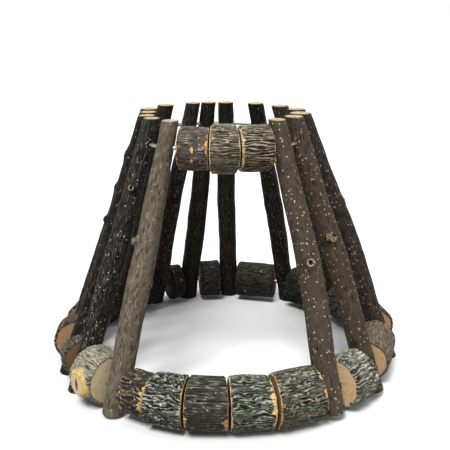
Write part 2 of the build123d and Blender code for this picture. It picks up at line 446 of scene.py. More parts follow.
def shape_knot(carving: Carving, knot: Knot, seat: Seat, seed: int) -> None:
    """Pull the skin out to a branch stub, or tear a scar's patch off.

    Args:
        carving: The piece, changed in place.
        knot: The stub's or scar's sizes.
        seat: Where it is on the piece.
        seed: Which unevenness to use.
    """
    offset = carving.place - seat.root
    out = offset @ seat.facing
    flat = offset - np.outer(out, seat.facing)
    side, rise = flat @ np.cross(seat.facing, seat.axis), flat @ seat.axis
    half = knot.width / 2
    big = half > BIG_STUB
    front = carving.side & (out > 0)
    wavy = 1.0 + 0.16 * noise(carving.place / (half * 0.7), seed)
    if knot.kind is KnotKind.SCAR:
        oval = np.hypot(rise / knot.length, side / half)
        patch = (1.0 - ease(0.6, 1.1, oval * wavy)) * front
        carving.mark("torn", patch * 0.9)
        carving.place -= np.outer(0.15 * patch, seat.facing)
        return
    share = np.linalg.norm(flat, axis=1) / (half * wavy)

    def within(full: float, none: float) -> np.ndarray:
        """Mark the front from the knot's middle out to a share of its half width."""
        return (1.0 - ease(full, none, share)) * front

    missing = seat.radius + knot.length - out
    healed = knot.kind is KnotKind.HEALED
    raised = within(0.3, 1.5) if healed else within(0.8, 1.15)
    collar = within(1.0, 1.9) * 0.45 * knot.length
    lift = np.maximum(raised * missing, collar * np.clip(missing, 0.0, 1.0))
    sink = np.zeros(len(share))
    if knot.kind is KnotKind.HOLLOW:
        sink = 1.2 * within(0.2, 0.42)
    rough = 0.16 * noise(carving.place / 0.7, seed + 1) * raised
    carving.place += np.outer(lift + rough - sink, seat.facing)
    broken = 0.5 + 0.9 * noise(carving.place / 0.9, seed + 2)
    # The groove round a stub is not carved: a dark ring in the crack mask as painted shade at the
    # stub's foot.
    groove = np.exp(-(((share - 1.2) / 0.14) ** 2)) * front * (0.35 if healed or big else 0.6)
    if healed:
        face = within(0.2, 0.5) * np.clip(broken, 0.0, 1.0)
        carving.mark("bare", face * 0.8)
        groove = np.maximum(groove, np.exp(-(((share - 0.62) / 0.12) ** 2)) * front * 0.8)
    elif knot.kind is KnotKind.HOLLOW:
        face = ease(0.72, 0.6, share) * ease(0.3, 0.44, share) * front
        carving.mark("bare", face * np.clip(broken + 0.35, 0.0, 1.0))
        carving.mark("shade", within(0.24, 0.42) * 0.95)
    else:
        face = within(0.84, 0.97)
        carving.mark("bare", face * (1.0 if big else 0.56))
        fringe = ease(0.64, 0.8, share) * ease(1.12, 0.98, share) * front
        carving.mark("torn", fringe * 0.85 * big)
        pith = ease(0.4, 0.24, np.hypot(side * 0.7, rise * 1.9) / half)
        carving.mark("shade", pith * front * 0.8 * big)
    carving.mark("stub", face)
    carving.crack = np.maximum(carving.crack * (1.0 - face), groove)
    carving.fleck = carving.fleck * (1.0 - face)
    local = np.stack([side, rise * 0.7, out], axis=1)
    carving.grain = np.where((face > 0.02)[:, None], local, carving.grain)


# --- blanks that every piece is carved from ---


def clear_selection() -> None:
    """Leave object mode's selection empty."""
    bpy.ops.object.select_all(action="DESELECT")


def select_by(kind: str, test: Callable) -> None:
    """Select faces or edges of the mesh in edit mode by a test on each of them.

    Args:
        kind: Either "faces" or "edges".
        test: Function of a face or an edge that is true where it is to be selected.
    """
    bpy.ops.mesh.select_mode(type="FACE" if kind == "faces" else "EDGE")
    bpy.ops.mesh.select_all(action="DESELECT")
    mesh = bpy.context.edit_object.data
    made = bmesh.from_edit_mesh(mesh)
    for part in getattr(made, kind):
        part.select_set(bool(test(part)))
    made.select_flush_mode()
    bmesh.update_edit_mesh(mesh)


@dataclass
class Blank:
    """Straight round blank of radius 1 and height 1, ringed finely enough to carve."""

    sides: int
    side_cuts: tuple[int, int]
    cap_steps: tuple[float, ...]
    bored: bool = False
    bore_cuts: int = 3
    mesh: bpy.types.Mesh | None = None

    def turn(self) -> None:
        """Make the blank's mesh once, and keep it for copying."""
        clear_selection()
        bpy.ops.mesh.primitive_cylinder_add(
            vertices=self.sides, radius=1.0, depth=1.0, end_fill_type="NGON")
        blank = bpy.context.object
        bpy.ops.object.mode_set(mode="EDIT")
        select_by("faces", lambda face: abs(face.normal.z) > 0.9)
        for step in self.cap_steps:
            bpy.ops.mesh.inset(thickness=step, use_individual=True)
        if self.bored:
            bpy.ops.mesh.delete(type="FACE")
            select_by("edges", lambda edge: edge.is_boundary)
            bpy.ops.mesh.bridge_edge_loops(number_cuts=self.bore_cuts)
        else:
            bpy.ops.mesh.poke()
        for cuts in self.side_cuts:
            select_by("edges", self.is_upright)
            bpy.ops.mesh.subdivide(number_cuts=cuts)
        bpy.ops.mesh.select_all(action="SELECT")
        bpy.ops.mesh.normals_make_consistent(inside=False)
        bpy.ops.object.mode_set(mode="OBJECT")
        self.mesh = blank.data
        bpy.data.objects.remove(blank)

    @staticmethod
    def is_upright(edge: bmesh.types.BMEdge) -> bool:
        """Tell whether an edge runs along the blank's outer side."""
        first, last = (corner.co for corner in edge.verts)
        flat = (first - last).xy.length
        return flat < 1e-4 and min(first.xy.length, last.xy.length) > 0.98

    def rounds(self) -> tuple[np.ndarray, np.ndarray, np.ndarray]:
        """Read each vertex's angle, radius share and height share, 0 at the foot.

        Returns:
            Three arrays with one value for each vertex.
        """
        spots = np.empty(len(self.mesh.vertices) * 3)
        self.mesh.vertices.foreach_get("co", spots)
        spots = spots.reshape(-1, 3)
        around = np.arctan2(spots[:, 1], spots[:, 0])
        radius = np.minimum(np.hypot(spots[:, 0], spots[:, 1]), 1.0)
        return around, radius, spots[:, 2] + 0.5


# --- materials ---


class Wiring:
    """Small helper that adds and links the nodes of one node tree."""

    def __init__(self, tree: bpy.types.NodeTree) -> None:
        """Keep the tree that nodes are added to."""
        self.tree = tree

    def add(self, kind: str, inputs: dict | None = None, **settings) -> bpy.types.Node:
        """Add a node.

        Args:
            kind: The node's type.
            inputs: Values or output sockets for its inputs, by name or index.
            settings: Its own settings.

        Returns:
            The node.
        """
        node = self.tree.nodes.new(kind)
        for key, value in settings.items():
            setattr(node, key, value)
        self.feed(node.inputs, inputs or {})
        return node

    def feed(self, sockets: bpy.types.NodeInputs, values: dict) -> None:
        """Give sockets values, colours without alpha, or links to output sockets."""
        for key, value in values.items():
            socket = sockets[key]
            if isinstance(value, Socket):
                self.tree.links.new(value, socket)
            else:
                socket.default_value = (*value, 1.0) if socket.type == "RGBA" else value

    def math(self, operation: str, first: Value, second: Value = 0.0) -> Socket:
        """Add a maths node and return its output."""
        return self.add("ShaderNodeMath", {0: first, 1: second}, operation=operation).outputs[0]

    def times(self, first: Value, second: Value) -> Socket:
        """Multiply two values and return the result."""
        return self.math("MULTIPLY", first, second)

    def ramp(
        self, value: Value, low: float, high: float, to_low: float = 0.0, to_high: float = 1.0
    ) -> Socket:
        """Add a smooth map from low..high to to_low..to_high and return its output."""
        ends = {"Value": value, "From Min": low, "From Max": high, "To Min": to_low,
                "To Max": to_high}
        return self.add("ShaderNodeMapRange", ends, interpolation_type="SMOOTHSTEP").outputs[0]

    def blend(self, share: Value, first: Value, second: Value) -> Socket:
        """Mix two colours and return the result."""
        parts = {0: share, 6: first, 7: second}
        return self.add("ShaderNodeMix", parts, data_type="RGBA").outputs[2]

    def mix(self, share: Value, first: Value, second: Value) -> Socket:
        """Mix two numbers and return the result."""
        parts = {0: share, 2: first, 3: second}
        return self.add("ShaderNodeMix", parts, data_type="FLOAT").outputs[0]

    def split(self, color: Socket) -> list[Socket]:
        """Return the three parts of a colour."""
        return self.add("ShaderNodeSeparateColor", {0: color}).outputs[:3]

    def stretched(self, place: Socket, along: float) -> Socket:
        """Scale a place along the piece and return it."""
        parts = {0: place, 1: (1.0, 1.0, along)}
        return self.add("ShaderNodeVectorMath", parts, operation="MULTIPLY").outputs[0]

    def texture(
        self, place: Socket, scale: float, detail: float, rough: float, along: float = 1.0
    ) -> Socket:
        """Add a noise texture, stretched along the piece, and return its value."""
        if along != 1.0:
            place = self.stretched(place, along)
        return self.add("ShaderNodeTexNoise", {"Vector": place, "Scale": scale,
                                               "Detail": detail, "Roughness": rough}).outputs[0]

    def bump(self, height: Socket, strength: float, distance: float) -> Socket:
        """Add a bump and return its normal."""
        parts = {"Strength": strength, "Distance": distance, "Height": height}
        return self.add("ShaderNodeBump", parts).outputs[0]


def new_group(name: str, inputs: dict, outputs: tuple[str, ...]) -> tuple:
    """Make a shader node group with named sockets.

    Args:
        name: The group's name.
        inputs: Socket name to starting value: a colour, a number, or None for a place.
        outputs: Socket names; the one named Color is a colour and the others are numbers.

    Returns:
        The group, its wiring, its given sockets and the sockets that it puts out.
    """
    number, color = "NodeSocketFloat", "NodeSocketColor"
    group = bpy.data.node_groups.new(name, "ShaderNodeTree")
    for label, start in inputs.items():
        if start is None:
            group.interface.new_socket(label, in_out="INPUT", socket_type="NodeSocketVector")
            continue
        kind = number if isinstance(start, float) else color
        socket = group.interface.new_socket(label, in_out="INPUT", socket_type=kind)
        socket.default_value = start
    for label in outputs:
        kind = color if label == "Color" else number
        group.interface.new_socket(label, in_out="OUTPUT", socket_type=kind)
    net = Wiring(group)
    return group, net, net.add("NodeGroupInput").outputs, net.add("NodeGroupOutput").inputs


def bark_group() -> bpy.types.NodeTree:
    """Make the group that colours bark from its relief, cracks and pores, with painted highlight
    on the rib crests and painted shade in the furrows and cracks.
    """
    grey = (0.2, 0.18, 0.15, 1.0)
    group, net, given, out = new_group(
        "bark_coat",
        {"Place": None, "Ridge": 0.5, "Crack": 0.0, "Pore": 0.0, "Base": grey, "Deep": grey,
         "Ridge Color": grey, "Patch": grey, "Pore Color": grey, "Grain": 1.0, "Pores": 0.3},
        ("Color", "Roughness", "Height"))
    place, deep = given["Place"], given["Deep"]
    streak = net.texture(place, 1.5, 4.0, 0.66, 0.2)
    fine = net.texture(place, 3.4, 2.0, 0.6, 0.22)
    speck = net.texture(place, 2.6, 3.0, 0.65)
    broad = net.texture(place, 0.17, 3.0, 0.6, 0.5)
    cloud = net.texture(place, 0.5, 4.0, 0.62, 0.7)
    ridge = net.math("ADD", given["Ridge"], net.ramp(speck, 0.3, 0.7, -0.1, 0.1))
    pull = net.times(net.ramp(streak, 0.34, 0.66, -0.24, 0.24), given["Grain"])
    ridge = net.math("ADD", ridge, pull)
    # Furrows take the deep colour and rib crests the ridge colour: partly bark tone, partly
    # painted shade and painted highlight.
    coat = net.blend(net.ramp(ridge, 0.06, 0.42), deep, given["Base"])
    coat = net.blend(net.ramp(ridge, 0.52, 0.92), coat, given["Ridge Color"])
    coat = net.blend(net.ramp(broad, 0.5, 0.64, 0.0, 0.5), coat, given["Patch"])
    lines = net.times(net.ramp(fine, 0.34, 0.48, 1.0, 0.0), given["Grain"])
    coat = net.blend(net.times(lines, 0.45), coat, deep)
    coat = net.blend(net.ramp(cloud, 0.34, 0.56, 0.28, 0.0), coat, deep)
    # Cracks take the near-black colour as painted shade.
    coat = net.blend(net.ramp(given["Crack"], 0.08, 0.85, 0.0, 0.96), coat, CRACK_SHADE)
    cells = net.add("ShaderNodeTexVoronoi", {"Vector": place, "Scale": 0.5}).outputs
    enough = net.math("SUBTRACT", given["Pores"], net.split(cells["Color"])[0])
    dot = net.times(net.ramp(cells["Distance"], 0.13, 0.21, 1.0, 0.0),
                    net.ramp(enough, 0.0, 0.05))
    pore = net.times(net.math("MAXIMUM", given["Pore"], dot),
                     net.ramp(speck, 0.25, 0.55, 0.35, 1.0))
    net.feed(out, {
        "Color": net.blend(pore, coat, given["Pore Color"]),
        "Roughness": net.ramp(streak, 0.3, 0.7, 0.88, 0.68),
        "Height": net.math("ADD", net.times(streak, 0.6), net.times(speck, 0.4))})
    return group


def wood_group() -> bpy.types.NodeTree:
    """Make the group for sawn end wood with its growth rings, saw marks and stains."""
    tan = (0.5, 0.4, 0.25, 1.0)
    group, net, given, out = new_group(
        "sawn_wood", {"Place": None, "Wood": tan, "Ring": tan, "Heart": tan},
        ("Color", "Roughness", "Height"))
    flat = net.stretched(given["Place"], 0.0)
    wobble = net.times(net.texture(flat, 0.35, 2.0, 0.5), 2.2)
    reach = net.add("ShaderNodeVectorMath", {0: flat}, operation="LENGTH").outputs["Value"]
    wave = net.math("SINE", net.times(net.math("ADD", reach, wobble), 6.2832))
    fibre = net.texture(given["Place"], 5.5, 3.0, 0.65, 0.3)
    stain = net.texture(flat, 0.22, 3.0, 0.5)
    wood = net.blend(net.ramp(wave, -0.2, 1.0, 0.0, 0.7), given["Wood"], given["Ring"])
    wood = net.blend(net.ramp(stain, 0.45, 0.75, 0.0, 0.55), wood, given["Ring"])
    wood = net.blend(net.ramp(fibre, 0.3, 0.52, 0.4, 0.0), wood, given["Heart"])
    saw = net.add("ShaderNodeTexWave", {"Vector": flat, "Scale": 0.55, "Distortion": 1.2,
                                        "Detail": 2.0}).outputs[1]
    net.feed(out, {
        "Color": net.blend(net.ramp(reach, 0.5, 1.1, 0.85, 0.0), wood, given["Heart"]),
        "Roughness": net.ramp(fibre, 0.3, 0.7, 0.8, 0.68),
        "Height": net.math("ADD", net.times(fibre, 0.6), net.times(saw, 0.25))})
    return group


def fibre_group() -> bpy.types.NodeTree:
    """Make the group for torn inner bark: stringy, warm and uneven."""
    tan = (0.5, 0.3, 0.14, 1.0)
    group, net, given, out = new_group(
        "torn_fibre", {"Place": None, "Fibre": tan, "Shade": tan},
        ("Color", "Height", "Raggedness"))
    strings = net.texture(given["Place"], 3.0, 3.0, 0.7, 0.3)
    lumps = net.texture(given["Place"], 1.1, 3.0, 0.6)
    pale = net.blend(net.ramp(lumps, 0.4, 0.65), given["Fibre"], (0.72, 0.52, 0.26))
    ragged = net.texture(given["Place"], 1.7, 3.0, 0.7, 0.55)
    net.feed(out, {
        "Color": net.blend(net.ramp(strings, 0.34, 0.52, 0.85, 0.0), pale, given["Shade"]),
        "Height": strings,
        "Raggedness": net.ramp(ragged, 0.3, 0.7, -0.5, 0.5)})
    return group


def wire_group() -> bpy.types.NodeTree:
    """Make the group for bright drawn wire: faint scuffs along it."""
    group, net, given, out = new_group(
        "drawn_wire", {"Place": None}, ("Color", "Roughness", "Height"))
    scuff = net.texture(given["Place"], 900.0, 3.0, 0.6)
    cloud = net.texture(given["Place"], 160.0, 2.0, 0.5)
    worn = net.times(net.ramp(scuff, 0.35, 0.6, 1.0, 0.0), 0.4)
    net.feed(out, {
        # The metal's colour is set darker than bare steel: painted shade for the dark inside of
        # the house that it reflects; the scuffs darken it further.
        "Color": net.blend(worn, (0.4, 0.4, 0.4), (0.24, 0.235, 0.23)),
        "Roughness": net.ramp(cloud, 0.35, 0.7, 0.22, 0.42),
        "Height": scuff})
    return group


@dataclass
class Finisher:
    """Makes the materials from shared groups, one for each finish."""

    bark: bpy.types.NodeTree = field(default_factory=bark_group)
    wood: bpy.types.NodeTree = field(default_factory=wood_group)
    fibre: bpy.types.NodeTree = field(default_factory=fibre_group)
    wire: bpy.types.NodeTree = field(default_factory=wire_group)
    bark_sheen: float = 0.14
    bark_bump: tuple[float, float] = (0.55, 0.00035)
    wire_bump: tuple[float, float] = (0.2, 0.00005)
    made: dict[str, bpy.types.Material] = field(default_factory=dict)

    @staticmethod
    def start(name: str) -> tuple[bpy.types.Material, Wiring, bpy.types.Node]:
        """Begin a material and return it with its wiring and its shader."""
        material = bpy.data.materials.new(name)
        material.use_nodes = True
        material.node_tree.nodes.clear()
        net = Wiring(material.node_tree)
        shader = net.add("ShaderNodeBsdfPrincipled")
        net.add("ShaderNodeOutputMaterial", {"Surface": shader.outputs[0]})
        return material, net, shader

    def bark_material(self, finish: BarkFinish) -> bpy.types.Material:
        """Make the material of a barked piece, its cut ends and its torn edges.

        Args:
            finish: The piece's colours.

        Returns:
            The material, made once for each finish.
        """
        if finish.name in self.made:
            return self.made[finish.name]
        material, net, shader = self.start(finish.name)
        places, marks, cuts = (
            net.add("ShaderNodeAttribute", attribute_name=name).outputs
            for name in ("grain_place", "marks", "cuts"))
        place = places["Vector"]
        ridge, crack, pore = net.split(marks["Color"])
        bare, torn, shade = net.split(cuts["Color"])
        bark = net.add("ShaderNodeGroup", {
            "Place": place, "Ridge": ridge, "Crack": crack, "Pore": pore, "Base": finish.base,
            "Deep": finish.deep, "Ridge Color": finish.ridge, "Patch": finish.patch,
            "Pore Color": finish.fleck, "Grain": finish.grain, "Pores": finish.pores,
        }, node_tree=self.bark).outputs
        face = net.blend(net.times(cuts["Alpha"], 0.85), finish.wood, finish.stub)
        wood = net.add("ShaderNodeGroup", {
            "Place": place, "Wood": face, "Ring": finish.ring, "Heart": finish.heart,
        }, node_tree=self.wood).outputs
        fibre = net.add("ShaderNodeGroup", {
            "Place": place, "Fibre": finish.torn, "Shade": finish.heart,
        }, node_tree=self.fibre).outputs
        bare = net.ramp(bare, 0.35, 0.65)
        edged = net.times(fibre["Raggedness"], net.ramp(torn, 0.12, 0.4))
        torn = net.ramp(net.math("ADD", torn, edged), 0.34, 0.5)
        coat = net.blend(bare, bark["Color"], wood["Color"])
        coat = net.blend(torn, coat, fibre["Color"])
        height = net.mix(bare, bark["Height"], wood["Height"])
        height = net.mix(torn, height, fibre["Height"])
        net.feed(shader.inputs, {
            "Base Color": net.blend(shade, coat, HOLE_DARK),
            "Roughness": net.mix(bare, bark["Roughness"], wood["Roughness"]),
            "Normal": net.bump(height, *self.bark_bump),
            "Specular IOR Level": self.bark_sheen})
        self.made[finish.name] = material
        return material

    def wire_material(self) -> bpy.types.Material:
        """Make the material of the wire rings."""
        material, net, shader = self.start("bright_wire")
        place = net.add("ShaderNodeTexCoord").outputs["Object"]
        wire = net.add("ShaderNodeGroup", {"Place": place}, node_tree=self.wire).outputs
        net.feed(shader.inputs, {
            "Base Color": wire["Color"], "Roughness": wire["Roughness"], "Metallic": 1.0,
            "Normal": net.bump(wire["Height"], *self.wire_bump)})
        return material


# --- finishes and barks of the house ---

KHAKI = BarkFinish(
    "khaki_post_bark", "grey_tan_bark", (0.15, 0.126, 0.087), (0.034, 0.027, 0.018),
    (0.31, 0.27, 0.2), (0.118, 0.094, 0.068), torn=(0.52, 0.25, 0.1), grain=0.7, pores=0.25)
INKY = BarkFinish(
    "inky_stick_bark", "dark_bark", (0.022, 0.02, 0.017), (0.002, 0.002, 0.002),
    (0.13, 0.125, 0.11), (0.036, 0.032, 0.027), fleck=(0.5, 0.48, 0.43), pores=0.65)
UMBER = BarkFinish(
    "umber_stick_bark", "dark_bark", (0.012, 0.0095, 0.007), (0.0015, 0.0012, 0.001),
    (0.07, 0.058, 0.045), (0.015, 0.011, 0.008), fleck=(0.32, 0.29, 0.23), pores=0.35)
SPECKLED = BarkFinish(
    "speckled_post_bark", "grey_brown_bark", (0.076, 0.06, 0.042), (0.022, 0.017, 0.011),
    (0.13, 0.107, 0.078), (0.055, 0.042, 0.029), fleck=(0.6, 0.5, 0.35), grain=0.5, pores=0.8)
RUSSET = BarkFinish(
    "russet_stick_bark", "brown_bark", (0.066, 0.048, 0.034), (0.014, 0.01, 0.007),
    (0.125, 0.1, 0.072), (0.05, 0.041, 0.03), fleck=(0.54, 0.44, 0.3), grain=0.6, pores=0.75)
PLUM = BarkFinish(
    "plum_stick_bark", "purple_grey_bark", (0.036, 0.028, 0.023), (0.005, 0.004, 0.003),
    (0.105, 0.088, 0.074), (0.035, 0.028, 0.024), fleck=(0.4, 0.32, 0.24), pores=0.6)
HEDGE = BarkFinish(
    "hedge_stick_bark", "grey_brown_bark", (0.05, 0.041, 0.03), (0.009, 0.007, 0.005),
    (0.13, 0.112, 0.086), (0.05, 0.043, 0.031), pores=0.5)
# Painted shade: this back stick bark is painted far darker than the front barks, for the shade
# inside the back of the house.
BACK_SHADE_STICK = BarkFinish(
    "back_shade_stick_bark", "grey_brown_bark", (0.022, 0.018, 0.014), (0.003, 0.003, 0.002),
    (0.07, 0.06, 0.047), (0.03, 0.024, 0.018), fleck=(0.16, 0.14, 0.11))
WRINKLED = BarkFinish(
    "wrinkled_log_bark", "brown_bark", (0.058, 0.05, 0.034), (0.006, 0.005, 0.003),
    (0.24, 0.22, 0.155), (0.045, 0.035, 0.024), fleck=(0.5, 0.36, 0.2), torn=(0.72, 0.46, 0.18),
    wood=(0.2, 0.125, 0.06), ring=(0.12, 0.07, 0.03), heart=(0.05, 0.028, 0.012))
FISSURED = BarkFinish(
    "fissured_log_bark", "grey_green_bark", (0.17, 0.178, 0.147), (0.009, 0.01, 0.008),
    (0.58, 0.605, 0.515), (0.105, 0.112, 0.088), torn=(0.56, 0.31, 0.11), wood=(0.2, 0.125, 0.06),
    ring=(0.12, 0.07, 0.03), heart=(0.05, 0.028, 0.012), pores=0.1)
SOOTY = BarkFinish(
    "sooty_log_bark", "dark_bark", (0.046, 0.042, 0.033), (0.003, 0.003, 0.002),
    (0.3, 0.28, 0.23), (0.024, 0.02, 0.015), fleck=(0.5, 0.38, 0.24), torn=(0.5, 0.25, 0.09),
    wood=(0.16, 0.095, 0.045), ring=(0.1, 0.055, 0.025), heart=(0.045, 0.025, 0.012), pores=0.25)
MOSSY = BarkFinish(
    "mossy_log_bark", "grey_green_bark", (0.115, 0.124, 0.093), (0.006, 0.007, 0.005),
    (0.5, 0.52, 0.41), (0.075, 0.078, 0.055), torn=(0.8, 0.57, 0.22), wood=(0.24, 0.15, 0.07),
    ring=(0.14, 0.08, 0.035), heart=(0.05, 0.03, 0.013), pores=0.12)
PORED = BarkFinish(
    "pored_log_bark", "grey_green_bark", (0.095, 0.095, 0.071), (0.006, 0.006, 0.004),
    (0.38, 0.38, 0.3), (0.062, 0.058, 0.041), fleck=(0.55, 0.38, 0.21), torn=(0.74, 0.48, 0.2),
    wood=(0.3, 0.19, 0.09), ring=(0.18, 0.1, 0.045), heart=(0.06, 0.033, 0.015), pores=0.45)
PURPLISH = BarkFinish(
    "purplish_log_bark", "purple_grey_bark", (0.1, 0.083, 0.066), (0.005, 0.004, 0.003),
    (0.42, 0.39, 0.35), (0.075, 0.055, 0.043), fleck=(0.6, 0.42, 0.24), torn=(0.9, 0.52, 0.2),
    wood=(0.3, 0.17, 0.07), ring=(0.17, 0.09, 0.035), heart=(0.06, 0.033, 0.015), pores=0.2)
TAWNY = BarkFinish(
    "tawny_log_bark", "brown_bark", (0.17, 0.152, 0.105), (0.008, 0.006, 0.004),
    (0.5, 0.46, 0.35), (0.115, 0.094, 0.063), fleck=(0.68, 0.52, 0.28), torn=(0.88, 0.7, 0.38),
    wood=(0.3, 0.18, 0.08), ring=(0.17, 0.09, 0.035), heart=(0.06, 0.033, 0.015), pores=0.12)
COPPERY = BarkFinish(
    "coppery_log_bark", "brown_bark", (0.135, 0.11, 0.076), (0.007, 0.005, 0.003),
    (0.5, 0.44, 0.32), (0.1, 0.073, 0.048), torn=(0.88, 0.66, 0.38), wood=(0.3, 0.18, 0.08),
    ring=(0.17, 0.09, 0.035), heart=(0.06, 0.033, 0.015), stub=(0.66, 0.36, 0.22), pores=0.12)
LICHENED = BarkFinish(
    "lichened_log_bark", "grey_green_bark", (0.3, 0.285, 0.2), (0.05, 0.046, 0.032),
    (0.58, 0.56, 0.43), (0.21, 0.2, 0.145), torn=(0.66, 0.44, 0.12), wood=(0.74, 0.61, 0.4),
    ring=(0.52, 0.41, 0.26), heart=(0.12, 0.085, 0.045), stub=(0.9, 0.72, 0.45), pores=0.1)
GULLIED = BarkFinish(
    "gullied_log_bark", "grey_green_bark", (0.19, 0.187, 0.145), (0.018, 0.018, 0.014),
    (0.56, 0.56, 0.47), (0.14, 0.138, 0.104), wood=(0.78, 0.56, 0.32), ring=(0.5, 0.33, 0.16),
    heart=(0.12, 0.075, 0.035), pores=0.05)
FAWN = BarkFinish(
    "fawn_log_bark", "grey_brown_bark", (0.13, 0.1, 0.068), (0.02, 0.014, 0.009),
    (0.29, 0.25, 0.19), (0.11, 0.088, 0.062), wood=(0.62, 0.4, 0.21), ring=(0.42, 0.25, 0.11),
    heart=(0.12, 0.065, 0.03))
CHESTNUT = BarkFinish(
    "chestnut_log_bark", "brown_bark", (0.1, 0.085, 0.062), (0.018, 0.014, 0.009),
    (0.23, 0.205, 0.16), (0.08, 0.07, 0.05), wood=(0.24, 0.145, 0.066), ring=(0.15, 0.085, 0.036),
    heart=(0.055, 0.03, 0.014))
AMBER = BarkFinish(
    "amber_log_bark", "brown_bark", (0.075, 0.058, 0.043), (0.013, 0.01, 0.007),
    (0.15, 0.125, 0.095), (0.055, 0.042, 0.031), wood=(0.46, 0.29, 0.15), ring=(0.32, 0.18, 0.08),
    heart=(0.11, 0.06, 0.03))
# Painted shade: the back wall logs' barks below are painted near-black, for the shade inside the
# back of the house.
BACK_SHADE_GREEN_LOG = BarkFinish(
    "back_shade_green_log_bark", "grey_green_bark", (0.024, 0.024, 0.018), (0.004, 0.004, 0.003),
    (0.07, 0.07, 0.054), (0.03, 0.029, 0.021), wood=(0.12, 0.08, 0.04), ring=(0.07, 0.045, 0.02),
    heart=(0.03, 0.018, 0.008), pores=0.1)
SHADED = BarkFinish(
    "shaded_log_bark", "grey_brown_bark", (0.026, 0.021, 0.015), (0.004, 0.003, 0.002),
    (0.07, 0.06, 0.046), (0.03, 0.024, 0.017), wood=(0.12, 0.075, 0.036),
    ring=(0.07, 0.042, 0.018), heart=(0.03, 0.016, 0.007), pores=0.1)
BACK_SHADE_BROWN_LOG = BarkFinish(
    "back_shade_brown_log_bark", "brown_bark", (0.022, 0.017, 0.012), (0.004, 0.003, 0.002),
    (0.065, 0.055, 0.042), (0.028, 0.021, 0.014), wood=(0.11, 0.066, 0.032),
    ring=(0.065, 0.038, 0.016), heart=(0.03, 0.016, 0.007), pores=0.15)

STICK_SMOOTH = BarkRelief(
    furrow_depth=0.12, cover=0.2, wave_length=9.0, fleck_count=50, fleck_size=0.34)
STICK_PORED = BarkRelief(
    furrow_depth=0.1, cover=0.1, waver=0.6, grain_depth=0.05, fleck_count=110, fleck_size=0.36)
STICK_DARK = BarkRelief(
    swell=0.35, rib_width=1.5, fleck_size=0.34)
STICK_GRAINED = BarkRelief(
    swell=0.28, rib_width=0.95, wave_length=4.0, furrow_depth=0.14, waver=0.5, breaks=1.0,
    grain_width=0.7, grain_length=3.0, fleck_size=0.32)
LOG_PLAIN = BarkRelief(
    swell=0.4, wave_length=6.0, furrow_depth=0.42, furrow_share=0.15, shoulder=0.4, cover=0.95,
    waver=1.2, breaks=0.45, grain_depth=0.1, fleck_count=8)
LOG_WRINKLED = replace(
    LOG_PLAIN, swell=0.45, rib_width=1.9, furrow_depth=0.46, furrow_share=0.13, cover=0.8,
    net=0.5, breaks=0.35, fleck_count=14, fleck_size=0.6)
LOG_FISSURED = replace(
    LOG_PLAIN, rib_width=1.55, wave_length=4.5, furrow_depth=0.6, furrow_share=0.18, cover=1.1,
    waver=1.3, net=0.9, breaks=0.1, cross_share=0.6, grain_depth=0.12, grain_length=3.0,
    fleck_count=4)
LOG_SMOOTH = replace(
    LOG_PLAIN, wave_length=12.0, furrow_depth=0.2, furrow_share=0.1, shoulder=0.32, cover=0.3,
    waver=0.5, breaks=0.5, grain_length=7.0, fleck_count=16, fleck_size=0.45)
LOG_WAVY = replace(
    LOG_PLAIN, wave_length=5.5, shoulder=0.36, net=0.4, breaks=0.3)
LOG_PORED = replace(
    LOG_PLAIN, swell=0.42, rib_width=1.5, wave_length=5.5, furrow_depth=0.4, shoulder=0.38,
    cover=0.85, net=0.4, fleck_count=60, fleck_size=0.62, fleck_stretch=0.6)
LOG_CREASED = replace(
    LOG_PLAIN, rib_width=1.2, furrow_depth=0.36, furrow_share=0.16, shoulder=0.36, waver=0.8,
    grain_depth=0.08, fleck_count=22, fleck_size=0.6)
LOG_STRIATED = replace(
    LOG_PLAIN, rib_width=1.35, wave_length=10.0, shoulder=0.38, waver=0.8, breaks=0.15,
    grain_depth=0.12, grain_length=8.0)
LOG_LINED = replace(
    LOG_PLAIN, rib_width=0.85, wave_length=8.0, furrow_depth=0.26, furrow_share=0.12,
    shoulder=0.34, cover=0.8, waver=0.9, net=0.35, breaks=0.55, grain_length=6.0)
LOG_GULLIED = replace(
    LOG_PLAIN, swell=0.45, rib_width=2.5, wave_length=7.0, furrow_depth=0.85, furrow_share=0.09,
    shoulder=0.32, cover=0.9, waver=0.9, net=0.5, breaks=0.2, cross_share=0.4, grain_depth=0.16,
    grain_length=4.0, fleck_count=2)


# --- layout of the house ---


@dataclass(frozen=True)
class StickSpec:
    """Leaning stick: the same sizes as its solid, with its bark."""

    name: str
    floor_angle: float
    rim_angle: float
    foot_width: float
    middle_width: float
    rim_width: float
    crook: float
    rim_inset: float
    foot_lift: float
    finish: BarkFinish
    relief: BarkRelief
    knots: tuple[Knot, ...] = ()
    bulge: float = 0.0


@dataclass(frozen=True)
class LogSpec:
    """Log slice: the same widths as its solid, with its bark."""

    name: str
    start_width: float
    middle_width: float
    end_width: float
    finish: BarkFinish
    relief: BarkRelief
    knots: tuple[Knot, ...] = ()
    tears: tuple[Tear, ...] = ()
    rim: float = 0.0

    def widest(self) -> float:
        """Return the log's largest width."""
        return max(self.start_width, self.middle_width, self.end_width)


